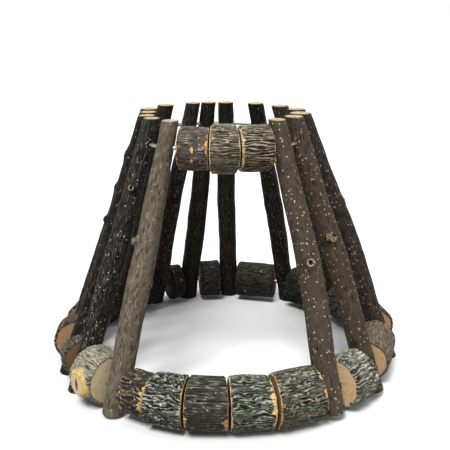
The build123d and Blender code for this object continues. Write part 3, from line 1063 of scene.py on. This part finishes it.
STICKS = (
    StickSpec("door_post_right", 35.1, 43.5, 11.0, 11.6, 8.4, 2.2, 0.6, 4.0,
              SPECKLED, STICK_PORED, (Knot(67, 8, 5.4, 0.9, KnotKind.HOLLOW),)),
    StickSpec("wall_stick_01", 56.5, 62.9, 10.6, 10.8, 8.6, 1.6, 0.0, 3.0,
              RUSSET, STICK_PORED, (Knot(74, 2, 7.6, 0.5, KnotKind.HEALED),
                                    Knot(75, -5, 3.2, 1.2), Knot(73, 9, 3.0, 1.0))),
    StickSpec("wall_stick_02", 87.2, 82.5, 11.2, 11.0, 10.2, 1.2, 0.0, 0.0,
              PLUM, STICK_PORED, (Knot(84, 70, 4.2, 0.4, KnotKind.HEALED),), 1.8),
    StickSpec("wall_stick_03", 107.0, 105.0, 10.4, 10.4, 8.6, -0.8, 0.0, 0.0,
              HEDGE, STICK_PORED),
    StickSpec("wall_stick_04", 127.6, 127.5, 10.8, 10.6, 8.8, 0.9, 0.0, 0.0,
              RUSSET, STICK_SMOOTH, (Knot(60, 150, 4.4, 1.1),)),
    StickSpec("wall_stick_05", 153.5, 151.5, 10.2, 10.4, 8.2, -1.0, 0.0, 0.0,
              UMBER, STICK_DARK),
    StickSpec("wall_stick_06", 180.0, 176.5, 10.8, 10.8, 8.6, 0.8, 0.0, 0.0,
              # Sticks 06, 07 and 09 at the back wear a bark painted dark as painted shade.
              BACK_SHADE_STICK, STICK_DARK, (Knot(78, 190, 5.0, 1.0),)),
    StickSpec("wall_stick_07", 198.8, 190.0, 11.4, 11.2, 8.0, -0.8, 0.0, 0.0,
              BACK_SHADE_STICK, STICK_PORED),
    StickSpec("wall_stick_08", 214.0, 202.8, 10.4, 10.4, 8.0, 1.0, 0.0, 0.0,
              PLUM, STICK_DARK),
    StickSpec("wall_stick_09", 232.5, 228.0, 10.6, 10.4, 8.4, -1.0, 0.0, 0.0,
              BACK_SHADE_STICK, STICK_PORED, (Knot(52, 225, 4.4, 1.0),)),
    StickSpec("wall_stick_10", 251.0, 253.0, 10.4, 10.6, 8.6, 0.8, 1.4, 0.0,
              RUSSET, STICK_SMOOTH),
    StickSpec("wall_stick_11", 269.0, 274.0, 11.0, 10.8, 8.2, -0.8, 4.4, 0.0,
              UMBER, STICK_DARK, (Knot(90, 262, 4.0, 0.9, KnotKind.HEALED),), -0.4),
    StickSpec("wall_stick_12", 286.7, 293.5, 10.6, 11.0, 7.8, 1.6, 2.0, 0.0,
              UMBER, STICK_DARK, (Knot(78, 268, 4.0, 1.6, KnotKind.HEALED),
                                  Knot(110, 275, 5.6, 0.9, KnotKind.HEALED)), -0.8),
    StickSpec("wall_stick_13", 300.8, 308.4, 10.2, 10.6, 7.2, 0.6, 0.0, 0.0,
              INKY, STICK_DARK, (Knot(98, 350, 4.0, 0.9, KnotKind.HOLLOW),
                                 Knot(32, 285, 4.8, 1.2, KnotKind.HEALED))),
    StickSpec("door_post_left", 322.1, 326.4, 10.4, 11.4, 7.6, 0.3, 0.0, 1.4,
              KHAKI, STICK_GRAINED, (Knot(76, 285, 3.6, 1.4),
                                     Knot(59, 62, 4.4, 1.0, KnotKind.HEALED))),
)

WALL_LOGS = (
    LogSpec("wall_log_01", 24.0, 24.4, 24.0, GULLIED, LOG_GULLIED),
    LogSpec("wall_log_02", 20.6, 21.2, 20.8, FAWN, LOG_SMOOTH),
    LogSpec("wall_log_03", 22.6, 22.2, 21.6, AMBER, LOG_STRIATED),
    LogSpec("wall_log_04", 21.4, 22.0, 21.0, PORED, LOG_PORED),
    # Logs 05 to 10 at the back wear finishes painted dark as painted shade.
    LogSpec("wall_log_05", 22.0, 22.8, 22.4, BACK_SHADE_GREEN_LOG, LOG_FISSURED),
    LogSpec("wall_log_06", 21.2, 22.0, 21.8, SHADED, LOG_WRINKLED),
    LogSpec("wall_log_07", 22.8, 22.2, 22.6, BACK_SHADE_GREEN_LOG, LOG_WAVY),
    LogSpec("wall_log_08", 21.0, 21.6, 21.2, BACK_SHADE_BROWN_LOG, LOG_WRINKLED),
    LogSpec("wall_log_09", 22.0, 21.4, 21.8, BACK_SHADE_GREEN_LOG, LOG_FISSURED),
    LogSpec("wall_log_10", 21.6, 22.4, 22.0, SHADED, LOG_STRIATED),
    LogSpec("wall_log_11", 22.4, 21.8, 22.2, PORED, LOG_PORED),
    LogSpec("wall_log_12", 23.6, 24.2, 24.6, AMBER, LOG_WRINKLED),
    LogSpec("wall_log_13", 20.4, 20.8, 20.6, CHESTNUT, LOG_WAVY),
    LogSpec("wall_log_14", 24.4, 25.0, 24.6, LICHENED, LOG_LINED, (Knot(0.8, 90, 13.6, 1.6),)),
)

SILL_LOGS = (
    LogSpec("sill_log_1", 20.4, 20.8, 20.2, WRINKLED, LOG_WRINKLED, (),
            (Tear(LogEnd.FIRST, -26, 34, 2.4), Tear(LogEnd.LAST, 20, 50, 2.8)), 0.4),
    LogSpec("sill_log_2", 23.6, 24.0, 24.4, FISSURED, LOG_FISSURED, (),
            (Tear(LogEnd.LAST, -20, 60, 0.6),), 0.5),
    LogSpec("sill_log_3", 24.2, 23.6, 24.0, SOOTY, LOG_SMOOTH, (),
            (Tear(LogEnd.FIRST, -26, 34, 1.7), Tear(LogEnd.LAST, -20, 34, 2.2)), 0.5),
    LogSpec("sill_log_4", 24.0, 24.4, 23.8, MOSSY, LOG_WAVY, (),
            (Tear(LogEnd.FIRST, 0, 60, 0.6), Tear(LogEnd.LAST, 10, 95, 2.5)), 0.7),
    LogSpec("sill_log_5", 24.6, 25.2, 24.8, PORED, LOG_PORED, (),
            (Tear(LogEnd.FIRST, 0, 60, 0.8), Tear(LogEnd.LAST, 48, 42, 2.0)), 0.6),
)

LINTEL_LOGS = (
    LogSpec("lintel_log_1", 19.6, 20.0, 19.4, PURPLISH, LOG_SMOOTH,
            (Knot(0.8, 84, 3.6, 0.8, KnotKind.SCAR), Knot(0.4, 112, 2.4, 0.7, KnotKind.SCAR)),
            (Tear(LogEnd.LAST, 0, 100, 1.5),), 0.9),
    LogSpec("lintel_log_2", 21.8, 22.4, 22.0, TAWNY, LOG_CREASED, (),
            (Tear(LogEnd.FIRST, 10, 70, 1.3),), 0.6),
    LogSpec("lintel_log_3", 20.6, 21.2, 20.8, COPPERY, LOG_STRIATED,
            (Knot(5.6, 112, 3.6, 0.8),),
            (Tear(LogEnd.FIRST, 0, 100, 1.5),), 0.6),
)


@dataclass(frozen=True)
class Joint:
    """Bend of a wire between two door logs: plan angle, inset, gap and skew of the saw cut."""

    angle: float
    inset: float
    gap: float
    skew: float = 0.0


@dataclass(frozen=True)
class SawnEnd:
    """Plane of a log's sawn end: a point on the wire and the direction it is square to."""

    point: np.ndarray
    facing: np.ndarray


LogEnds = tuple[SawnEnd, SawnEnd]


@dataclass(frozen=True)
class HouseForm:
    """Overall form that the sticks and wires share, in millimetres."""

    height: float = 130.0
    floor_radius: float = 84.6
    rim_radius: float = 39.6
    rim_shift: tuple[float, float] = (-4.3, 1.2)
    low_wire: float = 12.9
    high_wire: float = 118.0
    lintel_radius: float = 39.6
    stick_hole: float = 3.6
    log_hole: float = 3.0
    end_gap: float = 0.35
    sill_joints: tuple[Joint, ...] = (
        Joint(-23.9, 0.0, 0.8), Joint(-12.1, 0.3, 1.2), Joint(0.6, 1.5, 1.2, 3.4),
        Joint(14.8, 1.1, 1.6))
    lintel_joints: tuple[Joint, ...] = (Joint(-5.9, 0.0, 0.8), Joint(12.0, 0.0, 1.1))

    def middle(self, height: float) -> np.ndarray:
        """Return the middle of the ring of sticks at a height."""
        return np.array([*self.rim_shift, self.height]) * (height / self.height)

    def crossing(self, stick: StickSpec, height: float) -> np.ndarray:
        """Return where a stick's straight axis passes a height."""
        low = level_way(stick.floor_angle, self.floor_radius)
        high = self.middle(self.height) + level_way(
            stick.rim_angle, self.rim_radius - stick.rim_inset)
        return low + (high - low) * (height / self.height)

    def direction(self, stick: StickSpec) -> np.ndarray:
        """Return the unit direction of a stick, pointing up."""
        return unit(self.crossing(stick, self.height) - self.crossing(stick, 0.0))

    def bow_share(self, height: np.ndarray) -> np.ndarray:
        """Return how much of a stick's bow shows at each height."""
        share = (height - self.low_wire) / (self.high_wire - self.low_wire)
        inside = (share > 0.0) & (share < 1.0)
        return np.where(inside, np.sin(np.pi * share) ** 2, 0.0)

    def radius(self, stick: StickSpec, height: np.ndarray) -> np.ndarray:
        """Return the radius of a stick at each height."""
        widths = (stick.foot_width, stick.middle_width, stick.rim_width)
        return np.interp(height, (0.0, self.height / 2, self.height), widths) / 2

    def joints(self, strand: Strand) -> tuple[Joint, ...]:
        """Return a wire's bends across the doorway."""
        return self.sill_joints if strand is Strand.LOWER else self.lintel_joints

    def corners(self, strand: Strand) -> list[np.ndarray]:
        """Return all bends of a wire, at the sticks and then across the doorway."""
        height, radius = self.high_wire, self.lintel_radius
        if strand is Strand.LOWER:
            height = self.low_wire
            radius = self.floor_radius + (self.rim_radius - self.floor_radius) * (
                self.low_wire / self.height)
        bends = [self.crossing(stick, height) for stick in STICKS]
        return bends + [self.middle(height) + level_way(joint.angle, radius - joint.inset)
                        for joint in self.joints(strand)]

    def square_end(
        self, stick: StickSpec, corner: np.ndarray, run: np.ndarray, wide: float
    ) -> SawnEnd:
        """Return a log's end beside a stick, sawn square to the wire.

        Args:
            stick: The stick that the log lies against.
            corner: Where the wire crosses the stick.
            run: Direction of the wire away from the stick.
            wide: The log's largest width.

        Returns:
            The sawn end.
        """
        up = self.direction(stick)
        lean = abs(float(up @ run)) / up[2] * wide / 2
        thick = max(stick.foot_width / 2, float(self.radius(stick, corner[2])))
        return SawnEnd(corner + run * (thick + lean + self.end_gap), run)

    def slanted_end(self, bends: list[np.ndarray], joint: Joint, side: int) -> SawnEnd:
        """Return a log's end at a joint, sawn along the plane that halves the wire's bend.

        Args:
            bends: The wire's bend before the joint, the joint and the bend after it.
            joint: The gap and skew there.
            side: 1 for the log after the joint and -1 for the log before it.

        Returns:
            The sawn end.
        """
        before, corner, after = bends
        run_before, run_after = unit(corner - before), unit(after - corner)
        skew = math.radians(joint.skew)
        facing = unit(run_before + run_after) * math.cos(skew)
        facing = facing + np.array([-facing[1], facing[0], 0.0]) * math.tan(skew)
        run = run_after if side > 0 else run_before
        return SawnEnd(corner + run * side * joint.gap / 2 / float(run @ facing), facing)

    def wall_ends(self) -> list[LogEnds]:
        """Return the sawn ends of the logs between neighbouring sticks."""
        corners = self.corners(Strand.LOWER)
        ends = []
        for index, log in enumerate(WALL_LOGS):
            first, last = corners[index:index + 2]
            run = unit(last - first)
            ends.append((
                self.square_end(STICKS[index], first, run, log.widest()),
                self.square_end(STICKS[index + 1], last, -run, log.widest())))
        return ends

    def door_ends(self, logs: tuple[LogSpec, ...], strand: Strand) -> list[LogEnds]:
        """Return the sawn ends of the logs across the doorway.

        Args:
            logs: The logs from the left post to the right post.
            strand: The wire that they hang on.

        Returns:
            Two ends for each log.
        """
        corners, joints = self.corners(strand), self.joints(strand)
        route = [*corners[len(STICKS) - 1:], corners[0]]
        ends = []
        for index, log in enumerate(logs):
            before, after = route[index:index + 2]
            run = unit(after - before)
            if index == 0:
                first = self.square_end(STICKS[-1], before, run, log.widest())
            else:
                first = self.slanted_end(route[index - 1:index + 2], joints[index - 1], 1)
            if index == len(logs) - 1:
                last = self.square_end(STICKS[0], after, -run, log.widest())
            else:
                last = self.slanted_end(route[index:index + 3], joints[index], -1)
            ends.append((first, last))
        return ends


# --- sub-assemblies ---


def place_piece(
    spec: StickSpec | LogSpec, body: str, blank: Blank, carving: Carving, finisher: Finisher
) -> None:
    """Make a carved piece from a copy of its blank, and put it in place of its solid.

    Args:
        spec: The stick or log.
        body: The body that it rides on.
        blank: The blank that was carved.
        carving: Where each vertex went and how it looks.
        finisher: Makes its material.
    """
    mesh = blank.mesh.copy()
    mesh.name = f"{spec.name}_bark"
    mesh.vertices.foreach_set("co", (carving.place * MM).ravel())
    ones = np.ones(len(carving.relief))
    for name, masks in (
        ("marks", (carving.relief, carving.crack, carving.fleck, ones)),
        ("cuts", (carving.bare, carving.torn, carving.shade, carving.stub)),
    ):
        layer = mesh.attributes.new(name, "FLOAT_COLOR", "POINT")
        layer.data.foreach_set("color", np.stack(masks, 1).ravel())
    grain = mesh.attributes.new("grain_place", "FLOAT_VECTOR", "POINT")
    grain.data.foreach_set("vector", carving.grain.ravel())
    piece = bpy.data.objects.new(mesh.name, mesh)
    bpy.context.scene.collection.objects.link(piece)
    clear_selection()
    piece.select_set(True)
    bpy.context.view_layer.objects.active = piece
    bpy.ops.object.shade_smooth_by_angle(angle=SMOOTH_ANGLE)
    mesh.materials.clear()
    mesh.materials.append(finisher.bark_material(spec.finish))
    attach(piece, body)
    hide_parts(spec.name)
    LOG.info("%s carved with %d vertices", spec.name, len(ones))


@dataclass
class StickRing:
    """The ring of leaning sticks, from the right door post round to the left one."""

    form: HouseForm
    finisher: Finisher
    first_seed: int = 17
    bark_thickness: float = 0.55
    rim_chip: float = 0.45
    fleck_height: float = 0.1
    lump_share: float = 0.035
    wander: float = 0.45
    wander_length: float = 26.0
    wire_calm: float = 12.0
    mouth_reach: float = 2.5
    mouth_depth: float = 3.6
    blank: Blank = field(default_factory=lambda: Blank(
        96, (16, 16), (0.05, 0.06, 0.07, 0.1, 0.14, 0.16, 0.18, 0.14)))

    def build(self) -> None:
        """Carve every stick and put it in place of its solid."""
        self.blank.turn()
        rings = [self.form.corners(strand) for strand in Strand]
        for index, stick in enumerate(STICKS):
            bores = [self.bore(corners, index) for corners in rings]
            carving = self.carve(stick, bores, self.first_seed + 100 * index)
            place_piece(stick, ROOT_BODY, self.blank, carving, self.finisher)
        bpy.data.meshes.remove(self.blank.mesh)

    @staticmethod
    def bore(corners: list[np.ndarray], index: int) -> Bore:
        """Return the hole through a stick for the wire that bends at the given corners."""
        before, middle, after = (corners[(index + step) % len(corners)] for step in (-1, 0, 1))
        return Bore(middle, (unit(before - middle), unit(after - middle)))

    def carve(self, stick: StickSpec, bores: list[Bore], seed: int) -> Carving:
        """Carve a stick with its bark, knots, wire holes and cut ends.

        Args:
            stick: The stick.
            bores: Its wire holes.
            seed: Which bark to grow.

        Returns:
            The carved stick.
        """
        form = self.form
        around, share, rise = self.blank.rounds()
        side = share > SIDE_SHARE
        span = form.height - stick.foot_lift
        level = stick.foot_lift + rise * span
        up = form.direction(stick)
        out = squared(level_way(stick.floor_angle), up)
        radius = form.radius(stick, level)
        cosine, sine = np.cos(around), np.sin(around)
        spoke = np.outer(cosine, out) + np.outer(sine, np.cross(up, out))
        along = (level - radius * spoke[:, 2]) / up[2]
        rod = np.stack([radius * cosine, radius * sine, along], axis=1)
        height, ridge, crack = grow_bark(rod, stick.relief, seed)
        height += self.lump_share * radius * grained(rod, Grain.STICK_LUMPS, seed)
        fleck = scatter_flecks(around, along, radius, stick.relief, seed + PORE_SEED)
        height += self.fleck_height * fleck
        edge = np.minimum(rise, 1.0 - rise) * span
        chip = self.rim_chip * (0.6 + 0.8 * np.abs(grained(rod, Grain.STICK_CHIPS, seed)))
        height -= chip * (1.0 - ease(0.0, 1.0, edge / np.maximum(chip, 0.05))) ** 1.5
        skin = radius + height
        reach = np.where(side, skin, skin * share)
        ring = spoke * reach[:, None]
        place = self.axis_points(stick, level, seed) + ring - np.outer(ring[:, 2] / up[2], up)
        dip = np.abs(0.12 * noise(rod * share[:, None] / 1.5, seed + 14))
        place[:, 2] += np.where(side, 0.0, np.where(rise > 0.5, -dip, dip))
        inner = (1.0 - share) * radius
        ragged = self.bark_thickness * (1.0 + 0.5 * grained(rod, Grain.STICK_EDGE, seed))
        bare = np.where(side, ease(0.22, 0.06, edge) * 0.75, ease(0.6, 1.0, inner / ragged))
        pith = np.array([0.5, -0.4]) * (1 + seed % 3) * 0.5
        grain = np.stack([reach * cosine - pith[0], reach * sine - pith[1], along], axis=1)
        carving = Carving(
            place, side, ridge, crack, fleck, bare, grain, *np.zeros((3, len(place))))
        for number, knot in enumerate(stick.knots, seed + KNOT_SEED):
            at = np.array([knot.height])
            seat = Seat(self.axis_points(stick, at, number)[0],
                        squared(level_way(knot.facing), up), up, float(form.radius(stick, at)[0]))
            shape_knot(carving, knot, seat, number)
        for bore in bores:
            for way in bore.ways:
                self.drill(carving, bore.middle, way, seed + BORE_SEED)
        return carving

    def axis_points(self, stick: StickSpec, level: np.ndarray, seed: int) -> np.ndarray:
        """Return the stick's middle at each height, with its crook and small wander.

        The wander dies out near the wires, so that the holes stay where the wires are.

        Args:
            stick: The stick.
            level: Heights.
            seed: Which wander to use.

        Returns:
            One point for each height.
        """
        form = self.form
        low = form.crossing(stick, 0.0)
        high = form.crossing(stick, form.height)
        share = (level / form.height)[:, None]
        outwards = level_way(stick.floor_angle)
        sideways = np.array([-outwards[1], outwards[0], 0.0])
        spots = np.stack([level / self.wander_length, np.full(len(level), seed * 0.37),
                          np.zeros(len(level))], axis=1)
        hold = self.wander * (ease(0.0, self.wire_calm, np.abs(level - form.low_wire))
                              * ease(0.0, self.wire_calm, np.abs(level - form.high_wire)))
        bow = form.bow_share(level)
        return (low + (high - low) * share
                + np.outer(bow * stick.crook + hold * noise(spots, 5), sideways)
                + np.outer(bow * stick.bulge + hold * noise(spots + 7.3, 6), outwards))

    def drill(self, carving: Carving, middle: np.ndarray, way: np.ndarray, seed: int) -> None:
        """Drill one mouth of a wire hole, with its torn rim.

        Args:
            carving: The stick, changed in place.
            middle: Middle of the hole.
            way: Direction in which the wire leaves the mouth.
            seed: Which raggedness to use.
        """
        radius = self.form.stick_hole / 2
        offset = carving.place - middle
        depth = offset @ way
        gap = np.linalg.norm(offset - np.outer(depth, way), axis=1)
        near = carving.side & (gap < radius + self.mouth_reach) & (depth > 0.0)
        ragged = radius - 0.2 + 0.35 * noise(carving.place / 0.9, seed)
        sink = ease(ragged + 0.1, ragged - 0.4, gap) * near
        carving.place -= np.outer(np.minimum(depth * 0.85, self.mouth_depth) * sink, way)
        rim = np.clip(near * ease(ragged + 0.75, ragged + 0.3, gap) * (
            0.45 + 0.9 * noise(carving.place / 1.1, seed + 1)), 0.0, 1.0)
        carving.mark("torn", rim * (1.0 - sink))
        carving.mark("shade", ease(0.25, 0.8, sink) * 0.93)
        carving.fleck *= 1.0 - rim
        carving.crack *= 1.0 - rim


@dataclass
class LogRow:
    """A row of log slices threaded on a wire, each loose one on a body of its own."""

    form: HouseForm
    finisher: Finisher
    blank: Blank
    logs: tuple[LogSpec, ...]
    ends: list[LogEnds]
    first_seed: int
    loose: bool = True
    bark_thickness: float = 0.9
    fleck_height: float = 0.08
    lump_share: float = 0.02
    tallest: float = 0.45
    dish_depth: float = 0.18
    check_count: int = 4
    check_strength: float = 0.5

    def build(self) -> None:
        """Carve every log of the row and put it in place of its solid."""
        for index, (log, ends) in enumerate(zip(self.logs, self.ends)):
            carving = self.carve(log, *ends, self.first_seed + 100 * index)
            body = log.name if self.loose else ROOT_BODY
            place_piece(log, body, self.blank, carving, self.finisher)

    def carve(self, log: LogSpec, first: SawnEnd, last: SawnEnd, seed: int) -> Carving:
        """Carve a log slice with its bark, torn edges, sawn ends and bore.

        Args:
            log: The log.
            first: Its end nearest to the start of the wire's run.
            last: Its other end.
            seed: Which bark to grow.

        Returns:
            The carved log.
        """
        start = first.point
        length = float(np.linalg.norm(last.point - start))
        run = (last.point - start) / length
        around, share, rise = self.blank.rounds()
        bore_share = share.min()
        side, bore = share > SIDE_SHARE, share < bore_share + 0.005
        out = np.cross(run, UP)
        out *= np.sign(out @ start) or 1.0
        cosine, sine, along = np.cos(around), np.sin(around), rise * length
        waist = log.middle_width - (log.start_width + log.end_width) / 4
        mean = ((1 - rise) ** 2 * log.start_width / 2 + 2 * rise * (1 - rise) * waist
                + rise**2 * log.end_width / 2)
        rod = np.stack([mean * cosine, mean * sine, along], axis=1)
        height, ridge, crack = grow_bark(rod, log.relief, seed)
        height += self.lump_share * mean * grained(rod, Grain.LOG_LUMPS, seed)
        fleck = scatter_flecks(around, along, mean, log.relief, seed + PORE_SEED)
        height += self.fleck_height * fleck
        edge = np.minimum(rise, 1.0 - rise) * length
        torn = self.tear(log, around, rise, length, rod, seed)
        height -= 0.4 * torn
        chip = 0.75 + 0.55 * noise(np.stack(
            [rod[:, 0] / 2.2, rod[:, 1] / 2.2, np.round(rise) * 9.0], axis=1), seed + 13)
        chip = np.clip(chip, 0.3, 1.3)
        height -= chip * (1.0 - ease(0.0, 1.0, edge / chip)) ** 1.4
        skin = mean + np.minimum(height, self.tallest)
        bore_radius = self.form.log_hole / 2
        cap = (share - bore_share) / (1.0 - bore_share)
        reach = np.where(side, skin, bore_radius + (skin - bore_radius) * cap)
        reach = np.where(bore, bore_radius, reach)
        dish = self.dish_depth * noise(np.stack(
            [reach * cosine / 3.0, reach * sine / 3.0, np.round(rise) * 5.0], axis=1), seed + 14)
        inward = np.where(side | bore, 0.0, np.abs(dish) + 0.05)
        shift = np.where(rise < 0.5, inward, -inward)
        ring = (np.outer(cosine, out) + np.outer(sine, UP)) * reach[:, None]
        low = -(ring @ first.facing) / float(run @ first.facing)
        high = length - (ring @ last.facing) / float(run @ last.facing)
        place = start + np.outer(low + rise * (high - low) + shift, run) + ring
        inner = (1.0 - share) / (1.0 - bore_share) * (mean - bore_radius)
        ragged = self.bark_thickness * (1.0 + 0.35 * grained(rod, Grain.LOG_EDGE, seed))
        rim = log.rim * np.clip(0.6 + 1.3 * grained(rod, Grain.LOG_RIM, seed), 0.05, 1.4)
        lip = ease(rim + 0.01, rim * 0.4, edge) * (log.rim > 0.0)
        pith = np.array([1.6, -1.1]) * (0.6 + 0.2 * (seed // 100 % 4))
        shade = np.where(side, 0.0, self.checks(around, share, rise, seed + 17) * (cap < 0.95))
        carving = Carving(
            place, side, ridge, np.where(side, crack * (1.0 - torn), 0.0), fleck * (1.0 - torn),
            np.where(side, 0.0, ease(0.6, 1.0, inner / ragged)),
            np.stack([reach * cosine - pith[0], reach * sine - pith[1], along], axis=1),
            np.where(side, np.maximum(torn, lip * 0.9), 0.0), np.where(bore, 0.8, shade),
            np.zeros(len(rod)))
        for number, knot in enumerate(log.knots, seed + KNOT_SEED):
            turn = math.radians(90.0 - knot.facing)
            seat = Seat(start + run * (length / 2 + knot.height),
                        out * math.cos(turn) + UP * math.sin(turn), run, log.middle_width / 2)
            shape_knot(carving, knot, seat, number)
        return carving

    def tear(
        self, log: LogSpec, around: np.ndarray, rise: np.ndarray, length: float,
        rod: np.ndarray, seed: int
    ) -> np.ndarray:
        """Mark where bark is torn off at a log's ends.

        Args:
            log: The log.
            around: Angle of each vertex from straight out, in radians.
            rise: Share of each vertex along the log.
            length: The log's length.
            rod: The vertices on a straight rod.
            seed: The log's seed.

        Returns:
            A mask, 1 where the fibres show.
        """
        mask = np.zeros(len(around))
        for number, tear in enumerate(log.tears, seed):
            edge = (rise if tear.end is LogEnd.FIRST else 1.0 - rise) * length
            away = np.abs(wrapped(around - math.radians(tear.facing)))
            fade = 1.0 - ease(0.55, 1.15, away / math.radians(tear.spread))
            ragged = grained(rod, Grain.TEAR, number) + 0.5 * grained(
                rod, Grain.TEAR_FRINGE, number)
            reach = tear.reach * fade * (0.7 + 0.8 * ragged)
            mask = np.maximum(mask, ease(reach, reach - 1.2, edge) * (fade > 0.02))
        return mask

    def checks(
        self, around: np.ndarray, share: np.ndarray, rise: np.ndarray, seed: int
    ) -> np.ndarray:
        """Mark the fine radial drying cracks on a log's sawn ends, which are not cut but painted
        as dark lines of painted shade.

        Args:
            around: Angle of each vertex, in radians.
            share: Radius share of each vertex.
            rise: Share of each vertex along the log.
            seed: Which cracks to use.

        Returns:
            A mask, up to 1 in the cracks.
        """
        maker = np.random.default_rng(seed)
        mask = np.zeros(len(around))
        for end in (0.0, 1.0):
            for _ in range(self.check_count):
                turn = maker.uniform(-np.pi, np.pi)
                reach = maker.uniform(0.3, 0.75)
                wave = 0.06 * np.sin(share * 9.0 + turn)
                off = np.abs(wrapped(around - turn - wave)) * share
                line = (1.0 - ease(0.006, 0.022, off)) * ease(reach, reach - 0.2, share)
                here = np.abs(rise - end) < 0.01
                mask = np.maximum(mask, line * here * self.check_strength)
        return mask


@dataclass
class WireRings:
    """The two wire rings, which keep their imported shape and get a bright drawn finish."""

    finisher: Finisher

    def dress(self, nodes: dict[str, bpy.types.Object]) -> None:
        """Give each wire its finish."""
        material = self.finisher.wire_material()
        for strand in Strand:
            materials = nodes[strand.value].data.materials
            materials.clear()
            materials.append(material)
            LOG.info("%s dressed", strand.value)


@dataclass(frozen=True)
class Lamp:
    """Soft lamp: where it shines from, its width in degrees and its watts a square metre."""

    name: str
    place: tuple[float, float, float]
    spread: float
    strength: float


@dataclass
class Studio:
    """Pale floor, soft even lights, white surround and camera."""

    lens: float = 57.38
    sensor_width: float = 36.0
    camera_place: tuple[float, float, float] = (0.00264, -0.3571, 0.1754)
    camera_pitch: float = 16.244
    camera_yaw: float = -0.699
    nearest: float = 0.01
    floor_size: float = 40.0
    floor_color: tuple[float, float, float] = (0.86, 0.86, 0.86)
    floor_roughness: float = 0.9
    bounce_color: tuple[float, float, float] = (0.33, 0.32, 0.31)
    ambient: float = 0.22
    lamps: tuple[Lamp, ...] = (
        Lamp("key_lamp", (-0.3, -0.75, 1.25), 22.0, 3.3),
        Lamp("side_lamp", (0.9, -0.6, 0.9), 40.0, 0.45),
        Lamp("top_lamp", (0.1, 0.1, 1.3), 50.0, 0.7),
        Lamp("back_lamp", (0.5, 0.9, 0.9), 60.0, 0.9),
    )

    def build(self) -> None:
        """Make the floor, lamps, surround and camera."""
        self.lay_floor()
        for lamp in self.lamps:
            self.hang_lamp(lamp)
        self.paint_surround()
        self.set_camera()
        bpy.context.scene.view_settings.view_transform = "Standard"

    def lay_floor(self) -> None:
        clear_selection()
        bpy.ops.mesh.primitive_plane_add(size=self.floor_size, location=(0.0, 0.0, 0.0))
        floor = bpy.context.object
        floor.name = "studio_floor"
        material = bpy.data.materials.new("pale_floor")
        material.use_nodes = True
        net = Wiring(material.node_tree)
        net.feed(material.node_tree.nodes["Principled BSDF"].inputs, {
            "Base Color": net.blend(self.seen_rays(net), self.bounce_color, self.floor_color),
            "Roughness": self.floor_roughness, "Specular IOR Level": 0.0})
        floor.data.materials.append(material)

    @staticmethod
    def seen_rays(net: Wiring) -> Socket:
        """Return 1 for rays that are seen, directly or in metal or glass, and 0 for others."""
        rays = net.add("ShaderNodeLightPath").outputs
        seen = net.math("MAXIMUM", rays["Is Camera Ray"], rays["Is Glossy Ray"])
        return net.math("MAXIMUM", seen, rays["Is Transmission Ray"])

    @staticmethod
    def hang_lamp(lamp: Lamp) -> None:
        """Hang a soft lamp that lights the house and the whole floor evenly."""
        light = bpy.data.lights.new(lamp.name, "SUN")
        light.angle = math.radians(lamp.spread)
        light.energy = lamp.strength
        hung = bpy.data.objects.new(lamp.name, light)
        hung.location = lamp.place
        hung.rotation_euler = (-Vector(lamp.place)).to_track_quat("-Z", "Y").to_euler()
        bpy.context.scene.collection.objects.link(hung)

    def paint_surround(self) -> None:
        """Make the surround white to the eye and a soft ambient light to the house."""
        world = bpy.data.worlds.new("studio_surround")
        bpy.context.scene.world = world
        world.use_nodes = True
        world.node_tree.nodes.clear()
        net = Wiring(world.node_tree)
        soft, white = (net.add("ShaderNodeBackground", {0: WHITE, 1: strength}).outputs[0]
                       for strength in (self.ambient, 1.0))
        both = net.add("ShaderNodeMixShader", {0: self.seen_rays(net), 1: soft, 2: white})
        net.add("ShaderNodeOutputWorld", {"Surface": both.outputs[0]})

    def set_camera(self) -> None:
        """Set the camera a little above the rim, in front of the doorway."""
        data = bpy.data.cameras.new("studio_camera")
        data.lens = self.lens
        data.sensor_width = self.sensor_width
        data.clip_start = self.nearest
        camera = bpy.data.objects.new("studio_camera", data)
        camera.location = self.camera_place
        camera.rotation_euler = (
            math.radians(90.0 - self.camera_pitch), 0.0, math.radians(-self.camera_yaw))
        bpy.context.scene.collection.objects.link(camera)
        bpy.context.scene.camera = camera


def main() -> None:
    """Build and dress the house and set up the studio."""
    logging.basicConfig(level=logging.INFO, format="%(name)s: %(message)s")
    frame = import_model()
    form = HouseForm()
    finisher = Finisher()
    StickRing(form, finisher).build()
    blank = Blank(240, (7, 7), (0.02, 0.02, 0.03, 0.03) + (0.065,) * 12, bored=True)
    blank.turn()
    LogRow(form, finisher, blank, WALL_LOGS, form.wall_ends(), 5000, loose=False).build()
    for logs, strand, seed in ((SILL_LOGS, Strand.LOWER, 7000), (LINTEL_LOGS, Strand.UPPER, 8000)):
        LogRow(form, finisher, blank, logs, form.door_ends(logs, strand), seed).build()
    bpy.data.meshes.remove(blank.mesh)
    WireRings(finisher).dress(frame["nodes"])
    Studio().build()
    LOG.info("the house is dressed")


if __name__ == "__main__":
    main()
